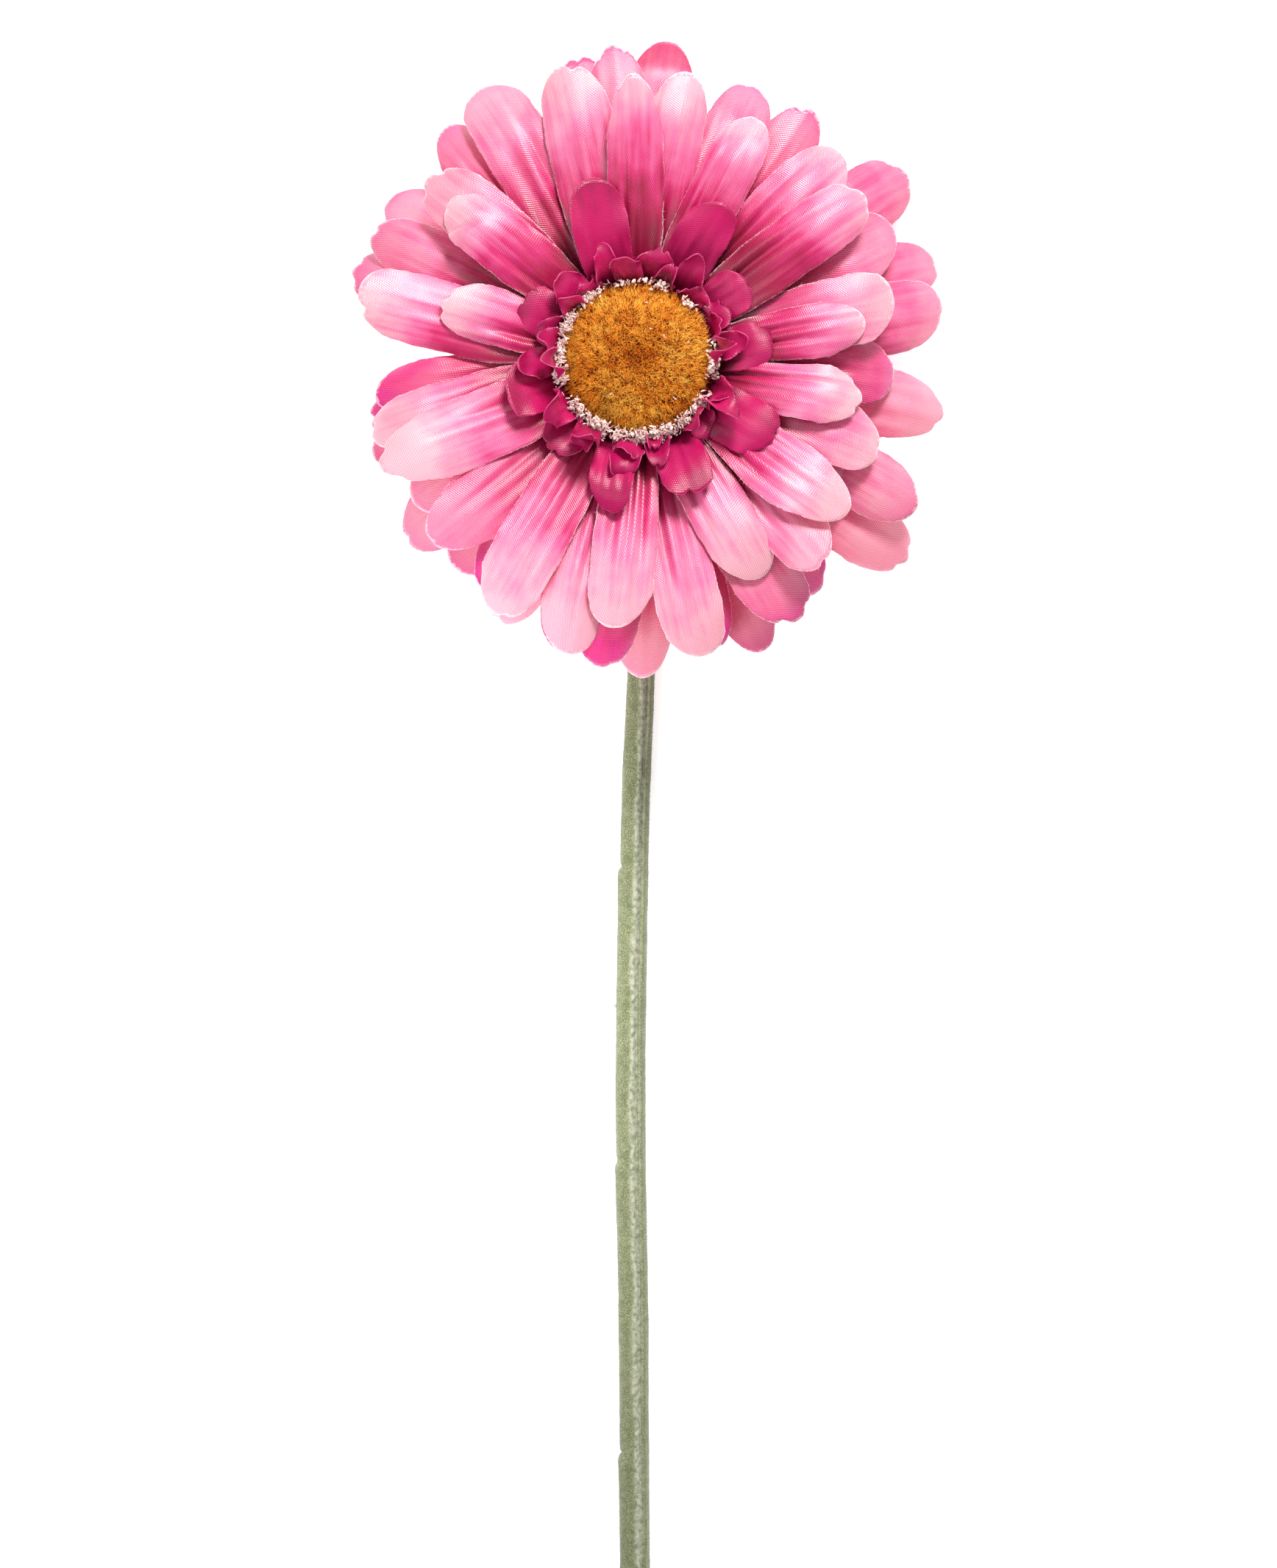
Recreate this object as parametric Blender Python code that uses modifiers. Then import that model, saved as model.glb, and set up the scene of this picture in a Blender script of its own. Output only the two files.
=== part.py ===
"""An artificial gerbera: die-cut satin petal layers on a moulded peg, a plush centre with a ring of
flock crumbs, and a flocked foam stem wrapped round a steel wire.

It lies face up: the stem runs along -Y on the surface, bends at the neck, and the head leans on the
tips of its rear petals. Metres, +Z up. The origin is on that surface, under the middle of the flower.
"""

import math
from collections import namedtuple

import bmesh
import bpy
from mathutils import Euler, Vector

MM = 0.001

# Whole flower, and how it lies
OVERALL_LENGTH = 460 * MM
HEAD_TILT = math.radians(16)  # of the head's axis from the vertical, towards +Y
HEAD_REACH = 56 * MM  # from the head's centre to the furthest petal tip, seen from above
HEAD_SHIFT_X = -2 * MM  # the right-hand petals are a little longer than the left-hand ones
NECK_BEND_RADIUS = 11 * MM
NECK_BEND_STEPS = 8

# Stem: a foam strip wrapped round a wire, whose edges meet in a groove
STEM_RADIUS = 2.8 * MM
NECK_RADIUS = 2.6 * MM
STEM_BORE_RADIUS = 1.2 * MM
WIRE_RADIUS = 0.8 * MM
GROOVE_TURN = math.radians(22)  # of the groove from the top of the stem, towards +X
GROOVE_HALF_WIDTH = 0.5 * MM
GROOVE_DEPTH = 0.8 * MM
SEAM_HALF_WIDTH = 0.15 * MM
# Sideways bow of the stem: distance behind the head's centre, and offset along X
STEM_BOW = ((58, 0.8), (80, -0.4), (125, -1.2), (155, -1.4), (180, -0.7), (220, -0.5), (310, 0.3))

# Calyx cup and peg, measured along the head's axis from the cup's rim
CUP_LENGTH = 9.5 * MM
CUP_RIM_RADIUS = 8 * MM
SOCKET_DEPTH = 5.3 * MM
SOCKET_RADIUS = 2.8 * MM
SLEEVE_TOP = -4.5 * MM
WIRE_TOP = 1.5 * MM
BEND_START = -10.5 * MM
PEG_RADIUS = 2 * MM
HOLE_RADIUS = 2.3 * MM
PEG_HEAD_RADIUS = 3 * MM

# Sheets and the stack
SHEET_THICKNESS = 0.4 * MM
CLEARANCE = 0.3 * MM
TIP_CLEARANCE = 0.9 * MM  # of a resting petal's middle over the surface: its edges hang lower
SPACER_THICKNESS = 0.5 * MM
SPACER_RADIUS = 5.5 * MM
LAYER_PITCH = SHEET_THICKNESS + SPACER_THICKNESS + 2 * CLEARANCE
SEPAL_HEIGHT = 0.5 * MM
FIRST_RAY_HEIGHT = 1.3 * MM
RAY_SLIT_RADIUS = 13 * MM
COLLAR_SLIT_RADIUS = 15 * MM
SEPAL_SLIT_RADIUS = 8.4 * MM

# Plush centre
DISC_RADIUS = 13.1 * MM
DISC_BASE_RADIUS = 9.6 * MM
DISC_HEIGHT = 7.6 * MM
CRUMB_RADIUS = 15 * MM

# How a petal's outline is sampled: shares of its free length, and strips over its width
LONG_ROWS = (0.0, 0.3, 0.62, 0.87, 1.0)
LONG_COLUMNS = 4
SHORT_ROWS = (0.0, 0.45, 0.8, 1.0)
SHORT_COLUMNS = 2
WIDEST_AT = 0.62
TURN_STEPS = 24
SPACER_STEPS = 14

# height and slit in metres; lifts in degrees above the layer's own plane; blunt is the half-width left
# at the tip, as a share; petals are (azimuth in degrees, reach from the axis in mm, width in mm)
Layer = namedtuple("Layer", "name height slit root_lift tip_lift blunt rows columns petals")

RAYS = (
    (  # rear layer, whose upper petals rest on the surface
        (116, 56, 12), (86, 60, 12), (57, 58.5, 12), (21, 57, 12), (-8, 55, 14), (-37, 61, 14),
        (-65, 57, 13), (-88, 57, 13), (-118, 53, 13), (-144, 53, 13), (-170, 47.5, 12), (147, 54, 13),
    ),
    (
        (130, 56, 12), (102, 56, 12), (67, 56, 12.5), (36, 61, 14), (9, 55.5, 14), (-26, 57.5, 13),
        (-50, 53, 12), (-76, 54.5, 12), (-107, 54, 12), (-131, 50, 12), (-160, 50, 12), (160, 53, 13),
    ),
    (
        (118, 58, 13), (93, 58, 12), (54, 56, 12.5), (26, 53, 13), (-1, 47, 13), (-33, 46, 12),
        (-60, 55.5, 13), (-96, 56, 13), (-126, 50, 12), (-149, 48, 12), (-172, 46, 13), (154, 52, 12),
    ),
    (
        (105, 55.5, 13.5), (81, 53, 11), (45, 53, 13), (13, 48, 13), (-20, 47, 12.5), (-46, 50.5, 13),
        (-79, 55, 12), (-105, 55, 12.5), (-136, 50, 13), (-164, 48.5, 13), (168, 50.5, 14), (137, 50.5, 12),
    ),
    (  # front layer
        (90, 51.5, 11), (65, 49, 11), (36, 51, 12), (8, 42, 10.5), (-11, 41.5, 11), (-38, 47.5, 13),
        (-62, 45.5, 12), (-93, 49, 12), (-120, 53, 12.5), (-156, 50.5, 14.5), (163, 37, 11), (138, 44.5, 12.5),
    ),
)
RAY_LIFTS = ((-1, -19), (4, -11), (10, -4), (15, 3), (20, 8))

COLLARS = (
    (
        (107, 33.5, 10.5), (63, 32, 10), (35, 24.5, 8.5), (6, 25, 9), (-32, 29, 11), (-66, 27, 9.5),
        (-103, 30, 9), (-133, 23, 8.5), (-165, 24.5, 10), (154, 23.5, 9),
    ),
    tuple((82 - 25.7 * i, 22 + 1.2 * math.sin(2.1 * i), 6.6) for i in range(14)),
    tuple((95 - 24 * i, 19.3 + 0.7 * math.sin(1.7 * i), 5.4) for i in range(15)),
)
COLLAR_LIFTS = ((38, 14), (50, 24), (60, 32))

SEPALS = tuple((8 + 25.7 * i, 19 + 1.5 * math.sin(2.6 * i), 3.6) for i in range(14))
SEPAL_LIFTS = (-8, -16)

STACK_TOP = FIRST_RAY_HEIGHT + LAYER_PITCH * (len(RAYS) + len(COLLARS) - 1)
DISC_BOTTOM = STACK_TOP + SHEET_THICKNESS / 2 + CLEARANCE

# The neck: from the cup the stem runs on along the axis, then bends until it lies on the surface
AXIS = Vector((0, math.sin(HEAD_TILT), math.cos(HEAD_TILT)))
NECK_TURN = math.pi / 2 - HEAD_TILT
HEAD_CENTRE = Vector(
    (
        HEAD_SHIFT_X,
        OVERALL_LENGTH / 2 - HEAD_REACH,
        STEM_RADIUS + NECK_BEND_RADIUS * (1 - math.cos(NECK_TURN)) - BEND_START * AXIS.z,
    )
)


def clear_scene():
    for obj in list(bpy.data.objects):
        bpy.data.objects.remove(obj)


def make_collection(name):
    collection = bpy.data.collections.new(name)
    bpy.context.scene.collection.children.link(collection)
    return collection


def make_material(name, colour, roughness, metallic=0.0):
    material = bpy.data.materials.new(name)
    material.use_nodes = True
    shader = material.node_tree.nodes["Principled BSDF"]
    shader.inputs["Base Color"].default_value = (*colour, 1)
    shader.inputs["Roughness"].default_value = roughness
    shader.inputs["Metallic"].default_value = metallic
    return material


def add_object(name, data, material, collection, parent=None):
    obj = bpy.data.objects.new(name, data)
    data.materials.append(material)
    collection.objects.link(obj)
    obj.parent = parent
    return obj


def shade_smooth(mesh):
    mesh.shade_smooth()
    mesh.set_sharp_from_angle(angle=math.radians(40))


def turned(name, profile, closed, material, collection, parent, steps=TURN_STEPS):
    """A profile of (radius, height) turned round the head's axis. An open one starts and ends on it."""
    mesh = bpy.data.meshes.new(name)
    ends = len(profile) if closed else len(profile) - 1
    edges = [(i, (i + 1) % len(profile)) for i in range(ends)]
    mesh.from_pydata([(radius, 0, height) for radius, height in profile], edges, [])
    obj = add_object(name, mesh, material, collection, parent)
    screw = obj.modifiers.new("turn", "SCREW")
    screw.axis = "Z"
    screw.angle = math.tau
    screw.steps = screw.render_steps = steps
    screw.use_merge_vertices = True
    screw.merge_threshold = 0.01 * MM
    screw.use_smooth_shade = True
    return obj


# Petal layers


def sway(azimuth, rate):
    """A value from -1 to 1 that differs from petal to petal but is the same on every run."""
    return math.sin(rate * math.radians(azimuth) + rate * rate)


def fullness(share, blunt):
    """Half-width of a petal at a share of its free length, against its widest half-width."""
    if share < WIDEST_AT:
        return 0.6 + 0.4 * math.sin(math.pi / 2 * share / WIDEST_AT)
    past = (share - WIDEST_AT) / (1 - WIDEST_AT)
    return blunt + (1 - blunt) * math.sqrt(1 - past**2)


def petal_slopes(layer, azimuth, reach):
    """Slopes of a petal's centreline at its root and its tip. The surface that the flower lies on bends
    up any petal that would reach below it."""
    root = math.tan(math.radians(layer.root_lift + 1.2 * sway(azimuth, 7)))
    tip = math.tan(math.radians(layer.tip_lift + 2.5 * sway(azimuth, 5)))
    below_centre = HEAD_CENTRE.z - reach * math.sin(math.radians(azimuth)) * AXIS.y
    lowest_rise = (TIP_CLEARANCE - below_centre) / AXIS.z - layer.height
    return root, max(tip, 2 * lowest_rise / (reach - layer.slit) - root)


def petal_point(layer, petal, left, right, across, share):
    """A point of one petal in the head's frame. across runs from -1 to 1 over its width, share from 0
    at the slit to 1 at the tip, and left and right are half the angles to the neighbouring petals."""
    azimuth, reach, width = petal[0], petal[1] * MM, petal[2] * MM
    run = (reach - layer.slit) * share
    radius = layer.slit + run
    gap = CLEARANCE * min(1, run / (2 * MM))
    sector = radius * math.tan(left if across > 0 else right) - gap
    half_width = min(sector, width / 2 * fullness(share, layer.blunt))
    if share == 0:
        half_width = sector
    root, tip = petal_slopes(layer, azimuth, reach)
    rise = root * run + (tip - root) * run * share / 2
    cup = 0.13 * half_width * sway(azimuth, 3) * math.sin(math.pi * share)
    twist = math.tan(math.radians(7 * sway(azimuth, 11))) * share
    height = layer.height + rise + cup * across**2 + twist * half_width * across
    point = Vector((radius, half_width * across, height))
    point.rotate(Euler((0, 0, math.radians(azimuth))))
    return point


def hub_point(layer, azimuth, left, right, across):
    """A point on the edge of a layer's centre hole, in the same sector as the petal."""
    side = math.tan(left if across > 0 else right) * across
    point = Vector((HOLE_RADIUS, HOLE_RADIUS * side, layer.height))
    point.rotate(Euler((0, 0, math.radians(azimuth))))
    return point


def petal_layer(layer, material, collection, parent):
    """One die-cut sheet: a strip for each petal, joined where the slits end, then given its thickness."""
    bm = bmesh.new()
    count = len(layer.petals)
    for i, petal in enumerate(layer.petals):
        before, after = layer.petals[i - 1], layer.petals[(i + 1) % count]
        left = math.radians((before[0] - petal[0]) % 360) / 2
        right = math.radians((petal[0] - after[0]) % 360) / 2
        rows = len(layer.rows)
        strip = bmesh.ops.create_grid(bm, x_segments=layer.columns, y_segments=rows, size=1)
        for vert in strip["verts"]:
            across = vert.co.x
            row = round((vert.co.y + 1) / 2 * rows)
            if row == 0:
                vert.co = hub_point(layer, petal[0], left, right, across)
            else:
                vert.co = petal_point(layer, petal, left, right, across, layer.rows[row - 1])
    bmesh.ops.remove_doubles(bm, verts=bm.verts, dist=0.01 * MM)
    bmesh.ops.recalc_face_normals(bm, faces=bm.faces)
    mesh = bpy.data.meshes.new(layer.name)
    bm.to_mesh(mesh)
    bm.free()
    shade_smooth(mesh)
    obj = add_object(layer.name, mesh, material, collection, parent)
    solidify = obj.modifiers.new("thickness", "SOLIDIFY")
    solidify.thickness = SHEET_THICKNESS
    solidify.offset = 0
    return obj


def build_layers(satin, dark_satin, green, collection, head):
    long_petal = (LONG_ROWS, LONG_COLUMNS)
    short_petal = (SHORT_ROWS, SHORT_COLUMNS)
    height = FIRST_RAY_HEIGHT
    for number, (petals, lifts) in enumerate(zip(RAYS, RAY_LIFTS), 1):
        cut = (RAY_SLIT_RADIUS, *lifts, 0.45, *long_petal)
        petal_layer(Layer(f"ray_layer_{number}", height, *cut, petals), satin, collection, head)
        height += LAYER_PITCH
    for number, (petals, lifts) in enumerate(zip(COLLARS, COLLAR_LIFTS), 1):
        cut = (COLLAR_SLIT_RADIUS, *lifts, 0.4, *short_petal)
        petal_layer(Layer(f"collar_layer_{number}", height, *cut, petals), dark_satin, collection, head)
        height += LAYER_PITCH
    cut = (SEPAL_SLIT_RADIUS, *SEPAL_LIFTS, 0.12, *short_petal)
    petal_layer(Layer("sepal_ring", SEPAL_HEIGHT, *cut, SEPALS), green, collection, head)


# Turned pieces of the head


def build_spacers(plastic, collection, head):
    gaps = len(RAYS) + len(COLLARS) - 1
    for number in range(1, gaps + 1):
        bottom = FIRST_RAY_HEIGHT + LAYER_PITCH * (number - 1) + SHEET_THICKNESS / 2 + CLEARANCE
        top = bottom + SPACER_THICKNESS
        ring = [(HOLE_RADIUS, top), (SPACER_RADIUS, top), (SPACER_RADIUS, bottom), (HOLE_RADIUS, bottom)]
        turned(f"spacer_{number}", ring, True, plastic, collection, head, SPACER_STEPS)


def build_cup(plastic, collection, head):
    socket_top = SOCKET_DEPTH - CUP_LENGTH
    cup = [
        (HOLE_RADIUS, 0),
        (CUP_RIM_RADIUS, 0),
        (CUP_RIM_RADIUS - 0.5 * MM, -2.6 * MM),
        (CUP_RIM_RADIUS - 1.9 * MM, -5 * MM),
        (CUP_RIM_RADIUS - 3.4 * MM, -7.2 * MM),
        (SOCKET_RADIUS + 0.9 * MM, -CUP_LENGTH),
        (SOCKET_RADIUS, -CUP_LENGTH),
        (SOCKET_RADIUS, socket_top),
        (HOLE_RADIUS, socket_top),
    ]
    turned("calyx_cup", cup, True, plastic, collection, head)


def build_peg(plastic, collection, head):
    """The peg starts above the stem's sleeve, takes the wire in a blind bore, and ends in the dome."""
    bottom = SLEEVE_TOP + CLEARANCE
    bore = WIRE_RADIUS + CLEARANCE
    head_bottom = DISC_BOTTOM + 0.1 * MM
    peg = [
        (0, head_bottom + 1.6 * MM),
        (PEG_RADIUS, head_bottom + 1.6 * MM),
        (PEG_HEAD_RADIUS, head_bottom + 0.8 * MM),
        (PEG_HEAD_RADIUS, head_bottom),
        (PEG_RADIUS, head_bottom),
        (PEG_RADIUS, bottom),
        (bore, bottom),
        (bore, WIRE_TOP + CLEARANCE),
        (0, WIRE_TOP + CLEARANCE),
    ]
    turned("hub_peg", peg, False, plastic, collection, head)


def dome_profile(radius, bottom, height, dimple, steps):
    """Outer side of a cushion-shaped dome with a dimple, from its middle to its lower rim."""
    points = []
    for i in range(steps + 1):
        angle = math.pi / 2 * (1.25 * i / steps)
        flat = math.sin(angle) if angle < math.pi / 2 else 1 - 0.16 * (angle - math.pi / 2) ** 2
        level = bottom + height * (0.28 + 0.72 * math.cos(angle))
        sunk = dimple * math.exp(-((i / (0.2 * steps)) ** 2))
        points.append((radius * flat, level - sunk))
    return points


def build_disc(plastic, plush, crumbs, collection, head):
    pocket = PEG_HEAD_RADIUS + CLEARANCE
    pocket_top = DISC_BOTTOM + 2.1 * MM
    base = dome_profile(DISC_BASE_RADIUS, DISC_BOTTOM, 4.6 * MM, 0.6 * MM, 8)
    base += [
        (DISC_BASE_RADIUS - 0.4 * MM, DISC_BOTTOM),
        (pocket, DISC_BOTTOM),
        (pocket, pocket_top),
        (0, pocket_top),
    ]
    turned("disc_base", base, False, plastic, collection, head)

    pile = dome_profile(DISC_RADIUS, DISC_BOTTOM, DISC_HEIGHT, 1 * MM, 9)
    inner = dome_profile(
        DISC_BASE_RADIUS + CLEARANCE, DISC_BOTTOM + CLEARANCE, 4.6 * MM, 0.6 * MM, 8
    )
    pile += [(DISC_RADIUS - 1.2 * MM, DISC_BOTTOM), (DISC_BASE_RADIUS + CLEARANCE, DISC_BOTTOM)]
    turned("disc_pile", pile + inner[::-1], False, plush, collection, head)

    inside = DISC_RADIUS + CLEARANCE
    ring = [
        (inside, DISC_BOTTOM + 2 * MM),
        (CRUMB_RADIUS - 0.5 * MM, DISC_BOTTOM + 2 * MM),
        (CRUMB_RADIUS, DISC_BOTTOM + 1.4 * MM),
        (CRUMB_RADIUS - 0.4 * MM, DISC_BOTTOM),
        (inside, DISC_BOTTOM),
    ]
    turned("crumb_ring", ring, True, crumbs, collection, head)


# Stem


def stem_route(top):
    """Centreline of the stem as (point, radius share), from a height on the head's axis to the cut end."""
    route = [(HEAD_CENTRE + AXIS * top, NECK_RADIUS / STEM_RADIUS)]
    bend_start = HEAD_CENTRE + AXIS * BEND_START
    neck_share = NECK_RADIUS / STEM_RADIUS
    for i in range(NECK_BEND_STEPS + 1):
        turn = NECK_TURN * i / NECK_BEND_STEPS
        heading = HEAD_TILT + turn
        back = NECK_BEND_RADIUS * (math.cos(HEAD_TILT) - math.cos(heading))
        down = NECK_BEND_RADIUS * (math.sin(heading) - math.sin(HEAD_TILT))
        route.append((bend_start + Vector((0, -back, -down)), neck_share))
    for behind, aside in STEM_BOW:
        share = neck_share + (1 - neck_share) * min(1, (behind - STEM_BOW[0][0]) / 70)
        y = HEAD_CENTRE.y - behind * MM
        route.append((Vector((HEAD_SHIFT_X + aside * MM, y, STEM_RADIUS * share)), share))
    route.append((Vector((HEAD_SHIFT_X + 1 * MM, -OVERALL_LENGTH / 2, STEM_RADIUS)), 1))
    return route


def sleeve_profile(collection):
    """Cross-section of the wrapped foam strip: a thick C, open at the seam under the groove."""
    lip = math.asin(GROOVE_HALF_WIDTH / STEM_RADIUS)
    seam = math.asin(SEAM_HALF_WIDTH / STEM_BORE_RADIUS)
    groove_floor = STEM_RADIUS - GROOVE_DEPTH
    outer, inner = 13, 7
    points = []
    for i in range(outer + 1):
        angle = -lip - (math.tau - 2 * lip) * i / outer
        points.append((STEM_RADIUS * math.cos(angle), STEM_RADIUS * math.sin(angle)))
    points.append((groove_floor, SEAM_HALF_WIDTH))
    for i in range(inner + 1):
        angle = seam + (math.tau - 2 * seam) * i / inner
        points.append((STEM_BORE_RADIUS * math.cos(angle), STEM_BORE_RADIUS * math.sin(angle)))
    points.append((groove_floor, -SEAM_HALF_WIDTH))
    curve = bpy.data.curves.new("sleeve_profile", "CURVE")
    curve.dimensions = "2D"
    spline = curve.splines.new("POLY")
    spline.points.add(len(points) - 1)
    turn = math.pi / 2 + GROOVE_TURN
    for point, (x, y) in zip(spline.points, points):
        turned_x = x * math.cos(turn) - y * math.sin(turn)
        turned_y = x * math.sin(turn) + y * math.cos(turn)
        point.co = (turned_x, turned_y, 0, 1)
    spline.use_cyclic_u = True
    guide = bpy.data.objects.new("sleeve_profile", curve)
    guide.hide_render = True
    guide.display_type = "WIRE"
    collection.objects.link(guide)
    return guide


def route_curve(name, route, scaled):
    curve = bpy.data.curves.new(name, "CURVE")
    curve.dimensions = "3D"
    curve.twist_mode = "MINIMUM"
    curve.use_fill_caps = True
    spline = curve.splines.new("POLY")
    spline.points.add(len(route) - 1)
    for point, (place, share) in zip(spline.points, route):
        point.co = (*place, 1)
        point.radius = share if scaled else 1
    return curve


def build_stem(flock, steel, collection, guides):
    sleeve = route_curve("stem_sleeve", stem_route(SLEEVE_TOP), True)
    sleeve.bevel_mode = "OBJECT"
    sleeve.bevel_object = sleeve_profile(guides)
    add_object("stem_sleeve", sleeve, flock, collection)
    wire = route_curve("stem_wire", stem_route(WIRE_TOP), False)
    wire.bevel_depth = WIRE_RADIUS
    wire.bevel_resolution = 2
    add_object("stem_wire", wire, steel, collection)


def main():
    clear_scene()
    parts = make_collection("gerbera")
    guides = make_collection("guides")
    head = bpy.data.objects.new("head_frame", None)
    head.location = HEAD_CENTRE
    head.rotation_euler = (-HEAD_TILT, 0, 0)
    parts.objects.link(head)

    satin = make_material("pink_satin", (0.86, 0.32, 0.50), 0.4)
    dark_satin = make_material("magenta_satin", (0.55, 0.06, 0.22), 0.5)
    green = make_material("green_moulded_plastic", (0.20, 0.30, 0.11), 0.55)
    clear_plastic = make_material("milky_plastic", (0.75, 0.76, 0.72), 0.35)
    brown_plastic = make_material("brown_plastic", (0.30, 0.15, 0.05), 0.6)
    plush = make_material("amber_plush", (0.66, 0.30, 0.03), 0.9)
    crumbs = make_material("white_flock_crumbs", (0.80, 0.68, 0.64), 0.9)
    flock = make_material("green_flock", (0.38, 0.44, 0.27), 0.95)
    steel = make_material("steel_wire", (0.55, 0.55, 0.53), 0.35, 1)

    build_stem(flock, steel, parts, guides)
    build_cup(green, parts, head)
    build_peg(clear_plastic, parts, head)
    build_layers(satin, dark_satin, green, parts, head)
    build_spacers(clear_plastic, parts, head)
    build_disc(brown_plastic, plush, crumbs, parts, head)


main()
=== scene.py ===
import math
import bpy
import numpy as np
from mathutils import Matrix, Vector


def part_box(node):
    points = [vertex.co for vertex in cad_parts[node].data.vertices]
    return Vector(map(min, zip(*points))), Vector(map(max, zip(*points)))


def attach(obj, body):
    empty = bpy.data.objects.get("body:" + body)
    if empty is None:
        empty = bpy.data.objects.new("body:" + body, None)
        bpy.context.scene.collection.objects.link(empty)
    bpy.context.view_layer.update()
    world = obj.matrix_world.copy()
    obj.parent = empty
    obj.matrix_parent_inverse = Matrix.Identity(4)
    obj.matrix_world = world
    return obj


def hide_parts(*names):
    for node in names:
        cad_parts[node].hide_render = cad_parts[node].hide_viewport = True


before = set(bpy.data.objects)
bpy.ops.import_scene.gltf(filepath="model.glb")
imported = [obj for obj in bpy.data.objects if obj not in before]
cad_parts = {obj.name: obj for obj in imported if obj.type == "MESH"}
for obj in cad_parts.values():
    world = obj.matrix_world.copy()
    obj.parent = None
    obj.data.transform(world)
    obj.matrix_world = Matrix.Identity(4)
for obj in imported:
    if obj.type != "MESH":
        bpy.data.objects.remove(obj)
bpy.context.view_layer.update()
bpy.ops.object.select_all(action="DESELECT")
mm = 0.001
rng = np.random.default_rng(24)
print("frame loaded")


# The head's own frame: +Z along the peg, which the spacer rings sit on, and the origin in the rear layer
ringMiddles = []
for ringNumber in (1, 7):
    lowCorner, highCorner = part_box(f"spacer_{ringNumber}")
    ringMiddles.append((Vector(lowCorner) + Vector(highCorner)) / 2)
pegAxis = (ringMiddles[1] - ringMiddles[0]).normalized()
layerPitch = (ringMiddles[1] - ringMiddles[0]).length / 6
headCentre = ringMiddles[0] - pegAxis * layerPitch / 2
across3d = Vector((1, 0, 0))
headMatrix = Matrix.Translation(headCentre) @ Matrix(
    (across3d, pegAxis.cross(across3d), pegAxis)
).transposed().to_4x4()
headTurn = np.array(headMatrix.to_3x3())
headPlace = np.array(headCentre)
discBottom = 7 * layerPitch + 0.5 * mm  # just over the last of the eight layers
discMiddle = headCentre + pegAxis * (discBottom + 5 * mm)  # the camera and the lights aim at it


def toWorld(points):
    return points @ headTurn.T + headPlace


# Helpers for meshes and nodes
def toLinear(hexColour):
    values = [int(hexColour[i : i + 2], 16) / 255 for i in (1, 3, 5)]
    linear = [v / 12.92 if v <= 0.04045 else ((v + 0.055) / 1.055) ** 2.4 for v in values]
    return (*linear, 1.0)


def darker(hexColour, share):
    return (*(share * c for c in toLinear(hexColour)[:3]), 1.0)


def newMaterial(name, **settings):
    material = bpy.data.materials.new(name)
    material.use_nodes = True
    tree = material.node_tree
    shader = tree.nodes["Principled BSDF"]
    for socketName, value in settings.items():
        shader.inputs[socketName.replace("_", " ")].default_value = value
    return material, tree, shader


def addNode(tree, kind, inputs=None, stops=None, **settings):
    node = tree.nodes.new(kind)
    for key, value in settings.items():
        setattr(node, key, value)
    for key, value in (inputs or {}).items():
        if isinstance(value, bpy.types.NodeSocket):
            tree.links.new(value, node.inputs[key])
        else:
            node.inputs[key].default_value = value
    if stops:
        elements = node.color_ramp.elements
        while len(elements) < len(stops):
            elements.new(0.5)
        for element, (place, hexColour) in zip(elements, stops):
            element.position = place
            element.color = toLinear(hexColour)
    return node


def makeObject(name, points, faces, material, maps=None, values=None):
    mesh = bpy.data.meshes.new(name)
    mesh.from_pydata(np.asarray(points).tolist(), [], faces)
    mesh.shade_smooth()
    for key, places in (maps or {}).items():
        layer = mesh.uv_layers.new(name=key)
        corners = np.empty(len(mesh.loops), np.int32)
        mesh.loops.foreach_get("vertex_index", corners)
        layer.data.foreach_set("uv", np.asarray(places, np.float32)[corners].ravel())
    for key, numbers in (values or {}).items():
        attribute = mesh.attributes.new(key, "FLOAT", "POINT")
        attribute.data.foreach_set("value", np.asarray(numbers, np.float32).ravel())
    mesh.materials.append(material)
    made = bpy.data.objects.new(name, mesh)
    bpy.context.scene.collection.objects.link(made)
    return made


def applyModifier(piece, kind, **settings):
    modifier = piece.modifiers.new(kind.lower(), kind)
    for key, value in settings.items():
        setattr(modifier, key, value)
    bpy.context.view_layer.objects.active = piece
    bpy.ops.object.modifier_apply(modifier=modifier.name)


def pointOutwards(piece, mergeDistance=0):
    piece.select_set(True)
    bpy.context.view_layer.objects.active = piece
    bpy.ops.object.mode_set(mode="EDIT")
    bpy.ops.mesh.select_all(action="SELECT")
    if mergeDistance:
        bpy.ops.mesh.remove_doubles(threshold=mergeDistance)
    bpy.ops.mesh.normals_make_consistent(inside=False)
    bpy.ops.object.mode_set(mode="OBJECT")
    piece.select_set(False)


def finishPiece(piece, slotName, *nodes):
    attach(piece, "root")
    if nodes:
        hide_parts(*nodes)


# Polyester satin, woven, stiffened and heat pressed, airbrushed darker towards the middle, and painted darker
# still at the root as shade among the layers. The floats stretch the highlights across the petal, and cut
# threads show pale along every edge.
satinLook = {
    "threads": 0.36 * mm,  # drawn coarse: the real twill looks nearer 0.25 mm, too fine to show
    "weft": 0.3,
    "sheen": 0.12,
    "gloss": 0.58,
    "streaks": 1.3 * mm,
    "toneLow": 0.58,
    "toneHigh": 1.16,
    "salmon": "#F893A8",
    "rim": "#FBD3DC",
    "rimWidth": 0.26,
}
# ramps from root to tip: airbrushed dye, with the darkest root stops painted shade down among the layers
rayDyesAndShade = {
    "pale": [(0.0, "#7C0430"), (0.28, "#A80A46"), (0.46, "#D0246E"), (0.64, "#EC689C"), (0.94, "#F8AAB8")],
    "deep": [(0.0, "#78062E"), (0.3, "#980842"), (0.6, "#C2145E"), (0.85, "#D8347A"), (1.0, "#C82880")],
}
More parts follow.
